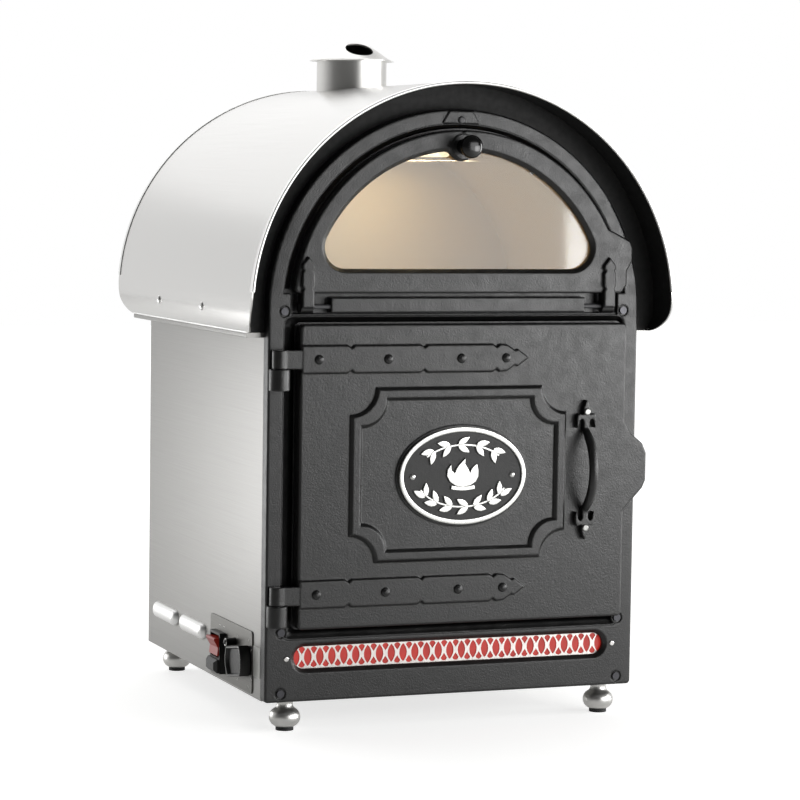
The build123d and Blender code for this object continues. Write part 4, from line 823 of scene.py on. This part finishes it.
class OVEN_OT_controls(bpy.types.Operator):
    """Timer, button and rocker on the left side"""

    bl_idname = "oven.controls"
    bl_label = "Controls"

    def execute(self, context):
        # moulded nylon: deep black with a satin skin
        black = painted("moulded_black_nylon", "#080808", 0.4)
        # etched sheet: mid grey metal with faint brush lines
        dress(["control_plate"], brushed_stainless("etched_control_plate", "#6b6a67", 1, 0.38))
        dress(["switch_body", "control_housings"], black)
        # moulded acrylic: dark red with a little light in it
        dress(["rocker"], glowing("red_rocker_acrylic", "#c4392b", 0.1, "#8c1a12"))
        self.timer(black)
        self.button(black)
        self.marks()
        return {"FINISHED"}

    def fix(self, name, bm, material, body, place, angle):
        """Fix one part of a control in place of its whole node."""
        piece(name, bm, material, body, place, side=True, replaces=(body,), angle=angle)

    def timer(self, black):
        """Bar-shaped timer knob with a dished face inside a rim painted pale grey as its highlight."""
        reach, half_width, resting = 28.3, 17, 9.5
        corner = math.degrees(math.asin(half_width / reach))

        def bar(inset):
            """Outline of the bar, drawn in by an inset."""
            points = arc(reach, reach, -corner, corner, 8) + arc(reach, reach, 180 - corner, 180 + corner, 8)
            smaller = [(x * (1 - inset / reach), z * (1 - inset / half_width)) for x, z in points]
            return moved(smaller, resting, (0, 0))

        # inset and height of each outline, from the plate over the lip to the dish
        sides = ((0.8, 0.6), (0, 2), (0, 11.6), (0.3, 12.6), (1.1, 13), (2.2, 12.6), (2.8, 11), (3.4, 9))
        shaft = ((0, -1.5), (3.0, -1.5), (3.0, 19), (0, 19))
        bm = bmesh.new()
        skin(bm, [ring(bm, bar(inset), -out) for inset, out in sides])
        close_holes(bm)
        turned(bm, shaft, (0, 0, 0), (0, 1, 0), 20)
        self.fix("timer_grip", bm, black, "timer_knob", TIMER_PLACE, 40)
        lip = ((0.5, 12.7), (1.1, 13.0), (1.9, 12.9), (1.1, 12.5))
        bm = bmesh.new()
        skin(bm, [ring(bm, bar(inset), -out) for inset, out in lip], closed=True)
        # pale grey painted on the lip as its highlight
        self.fix("timer_rim", bm, painted("grey_rim_painted_highlight", "#9b9b99", 0.35), "timer_knob", TIMER_PLACE, 60)

    def button(self, black):
        """Domed push button with a pale ring round its end."""
        dome = ((0, -13.4), (1.8, -13.2), (3.1, -12.3), (3.4, -11.6), (4.4, -11.0), (4.5, -10), (4.5, 13),
                (0, 13))
        band = ((3.3, -11.9), (3.9, -12.1), (4.4, -11.5), (4.3, -10.9), (3.3, -11.2), (3.3, -11.9))
        bm = bmesh.new()
        turned(bm, dome, (0, 0, 0), (0, 1, 0), 24)
        self.fix("reset_button", bm, black, "push_button", BUTTON_PLACE, 40)
        bm = bmesh.new()
        turned(bm, band, (0, 0, 0), (0, 1, 0), 24)
        # plated ring: a thin pale line
        self.fix("reset_button_ring", bm, plain_metal("pale_ring", "#cfcfcc", 0.3), "push_button",
                 BUTTON_PLACE, 50)

    def marks(self):
        """Etched minute marks round the timer, and two lines by the switch."""
        front, back = -0.12, 0.05
        near, far, far_third, half_width = 30.2, 33.6, 35, 0.35
        plate_half_height = 32
        bm = bmesh.new()
        for index in range(13):
            turn = 30 + 25 * index
            end = far if index % 3 else far_third
            if abs(math.sin(math.radians(turn))) * end < plate_half_height:
                tick = [(near, -half_width), (end, -half_width), (end, half_width), (near, half_width)]
                pressed(bm, moved(tick, turn, (0, 0)), front, back)
        for left in (-74, -89):
            right, low, high = left + 7, 27.5, 28.4
            pressed(bm, [(left, low), (right, low), (right, high), (left, high)], front, back)
        # etched and filled: flat pale grey
        piece("dial_marks", bm, painted("etched_marks", "#d6d6d2", 0.6), "cabinet", TIMER_PLACE,
              side=True)


class OVEN_OT_stage(bpy.types.Operator):
    """Floor, studio light and camera"""

    bl_idname = "oven.stage"
    bl_label = "Stage"

    def execute(self, context):
        scene = context.scene
        scene.view_settings.view_transform = "Standard"
        self.floor(scene)
        self.world(scene)
        self.lights(scene)
        self.camera(scene)
        return {"FINISHED"}

    def floor(self, scene):
        """White studio floor that still takes the oven's shadow."""
        bm = bmesh.new()
        bmesh.ops.create_grid(bm, x_segments=1, y_segments=1, size=8.0)
        mesh = bpy.data.meshes.new("floor")
        bm.to_mesh(mesh)
        bm.free()
        floor = bpy.data.objects.new("floor", mesh)
        scene.collection.objects.link(floor)
        material, tree, shader, place = new_material("studio_floor")
        shader.inputs["Base Color"].default_value = linear(scene.oven_colours.floor)
        # painted board: matt, with clouds of about 250 mm
        clouds = add_node(tree, "ShaderNodeTexNoise", inputs={"Scale": 4.0}, links={"Vector": place})
        roughness_between(tree, shader, clouds.outputs["Fac"], 0.85, 0.95)
        # the camera sees the floor white, less so round the oven, where its shadow lies
        rays = add_node(tree, "ShaderNodeLightPath")
        distance = add_node(tree, "ShaderNodeVectorMath", {"operation": "LENGTH"}, links={0: place})
        away = add_node(tree, "ShaderNodeMath", {"operation": "MULTIPLY"}, {1: 0.25},
                        {0: distance.outputs["Value"]})
        white = add_node(tree, "ShaderNodeValToRGB", links={"Fac": away.outputs[0]},
                         stops=((0.08, 0.68), (0.45, 0.97))).outputs["Color"]
        # mirrors and glass see it white too, fading into the unlit corner at the front left of the studio
        bounced = add_node(tree, "ShaderNodeMath", {"operation": "MAXIMUM"},
                           links={0: rays.outputs["Is Glossy Ray"], 1: rays.outputs["Is Transmission Ray"]})
        diagonal = add_node(tree, "ShaderNodeVectorMath", {"operation": "DOT_PRODUCT"}, {1: (0.18, 0.18, 0)},
                            {0: place})
        lit_side = add_node(tree, "ShaderNodeMath", {"operation": "ADD"}, {1: 0.5},
                            {0: diagonal.outputs["Value"]})
        corner = add_node(tree, "ShaderNodeValToRGB", links={"Fac": lit_side.outputs[0]},
                          stops=((0.12, 0.0), (0.42, 0.4), (0.6, 0.55))).outputs["Color"]
        mirrored = add_node(tree, "ShaderNodeMath", {"operation": "MULTIPLY"},
                            links={0: bounced.outputs[0], 1: corner})
        seen = add_node(tree, "ShaderNodeMath", {"operation": "MAXIMUM"},
                        links={0: rays.outputs["Is Camera Ray"], 1: mirrored.outputs[0]})
        lift = add_node(tree, "ShaderNodeMath", {"operation": "MULTIPLY"},
                        links={0: seen.outputs[0], 1: white})
        tree.links.new(lift.outputs[0], shader.inputs["Emission Strength"])
        shader.inputs["Emission Color"].default_value = (1, 1, 1, 1)
        mesh.materials.append(material)

    def world(self, scene):
        """White room behind the oven and a dark one in front, so that glossy edges are drawn crisply."""
        world = bpy.data.worlds.new("studio")
        scene.world = world
        world.use_nodes = True
        tree = world.node_tree
        background = tree.nodes["Background"]
        background.inputs["Color"].default_value = linear("#ffffff")
        towards = add_node(tree, "ShaderNodeTexCoord").outputs["Generated"]
        parts = add_node(tree, "ShaderNodeSeparateXYZ", links={"Vector": towards})
        depth = add_node(tree, "ShaderNodeMath", {"operation": "MULTIPLY_ADD"}, {1: 0.5, 2: 0.5},
                         {0: parts.outputs["Y"]})
        brightness = ((0.0, 0.08), (0.45, 0.1), (0.62, 0.5), (0.85, 0.95), (1.0, 1.0))
        room = add_node(tree, "ShaderNodeValToRGB", links={"Fac": depth.outputs[0]},
                        stops=brightness).outputs["Color"]
        rays = add_node(tree, "ShaderNodeLightPath")
        seen = add_node(tree, "ShaderNodeMath", {"operation": "MAXIMUM"},
                        links={0: rays.outputs["Is Camera Ray"], 1: rays.outputs["Is Transmission Ray"]})
        level = add_node(tree, "ShaderNodeMath", {"operation": "MAXIMUM"},
                         links={0: seen.outputs[0], 1: room})
        tree.links.new(level.outputs[0], background.inputs["Strength"])

    def lights(self, scene):
        """Softboxes round the oven, all out of the camera's sight."""
        # name, place, aim, width, height and power of each
        softboxes = (
            ("key", (1.25, -2.7, 0.66), (0.05, -0.2, 0.4), 1.7, 1.5, 25),
            ("side", (1.2, -1.5, 0.45), (0.12, -0.2, 0.42), 0.9, 0.6, 11),
            ("rim", (2.0, -0.66, 0.45), (0.1, -0.2, 0.4), 0.7, 1.2, 26),
            ("low_left", (-0.86, 0.7, 0.16), (-0.3, -0.1, 0.2), 0.42, 0.42, 2.8),
            ("upper_back", (-0.4, 2.5, 1.9), (-0.1, 0, 0.6), 2.4, 1.4, 4),
            ("top", (-0.2, 1.3, 2.6), (0, 0, 0.5), 2.0, 1.6, 10),
        )
        for name, position, target, width, height, power in softboxes:
            light = bpy.data.lights.new(name, "AREA")
            light.shape = "RECTANGLE"
            light.size = width
            light.size_y = height
            light.energy = power
            obj = bpy.data.objects.new(name, light)
            scene.collection.objects.link(obj)
            obj.visible_camera = False
            aim = Vector(target) - Vector(position)
            turn = aim.to_track_quat("-Z", "Y").to_matrix().to_4x4()
            obj.matrix_world = Matrix.Translation(position) @ turn

    def camera(self, scene):
        """Camera at the front left, a little above the middle, with a slight roll."""
        azimuth, elevation, roll = (math.radians(angle) for angle in (-21.48, 4.41, 0.84))
        level = math.cos(elevation)
        back = Vector((math.sin(azimuth) * level, -math.cos(azimuth) * level, math.sin(elevation)))
        right = Vector((math.cos(azimuth), math.sin(azimuth), 0))
        up = back.cross(right)
        across = right * math.cos(roll) + up * math.sin(roll)
        upright = up * math.cos(roll) - right * math.sin(roll)
        data = bpy.data.cameras.new("camera")
        data.lens = 130.3
        data.sensor_width = 36.0
        data.clip_end = 50.0
        camera = bpy.data.objects.new("camera", data)
        scene.collection.objects.link(camera)
        place = Matrix.Translation((-1.2393, -2.9773 + FACE * MM, 0.6130))
        camera.matrix_world = place @ Matrix((across, upright, back)).transposed().to_4x4()
        scene.camera = camera


class OVEN_PT_panel(bpy.types.Panel):
    """Sizes and colours of the oven, and its pieces"""

    bl_idname = "OVEN_PT_panel"
    bl_label = "Baked potato oven"
    bl_space_type = "VIEW_3D"
    bl_region_type = "UI"
    bl_category = "Potato oven"

    def draw(self, context):
        layout = self.layout
        for group in (context.scene.oven_sizes, context.scene.oven_colours):
            for key in group.bl_rna.properties.keys():
                if key not in {"rna_type", "name"}:
                    layout.prop(group, key)
        for operator in OPERATORS:
            layout.operator(operator.bl_idname)


OPERATORS = (OVEN_OT_castings, OVEN_OT_badge, OVEN_OT_handle, OVEN_OT_shell, OVEN_OT_insides, OVEN_OT_glow,
             OVEN_OT_fittings, OVEN_OT_controls, OVEN_OT_stage)


CLASSES = (OvenSizes, OvenColours, *OPERATORS, OVEN_PT_panel)


def register():
    for cls in CLASSES:
        bpy.utils.register_class(cls)
    bpy.types.Scene.oven_sizes = bpy.props.PointerProperty(type=OvenSizes)
    bpy.types.Scene.oven_colours = bpy.props.PointerProperty(type=OvenColours)


def unregister():
    del bpy.types.Scene.oven_colours
    del bpy.types.Scene.oven_sizes
    for cls in reversed(CLASSES):
        bpy.utils.unregister_class(cls)


def main():
    register()
    for operator in OPERATORS:
        module, name = operator.bl_idname.split(".")
        getattr(getattr(bpy.ops, module), name)()


if __name__ == "__main__":
    main()
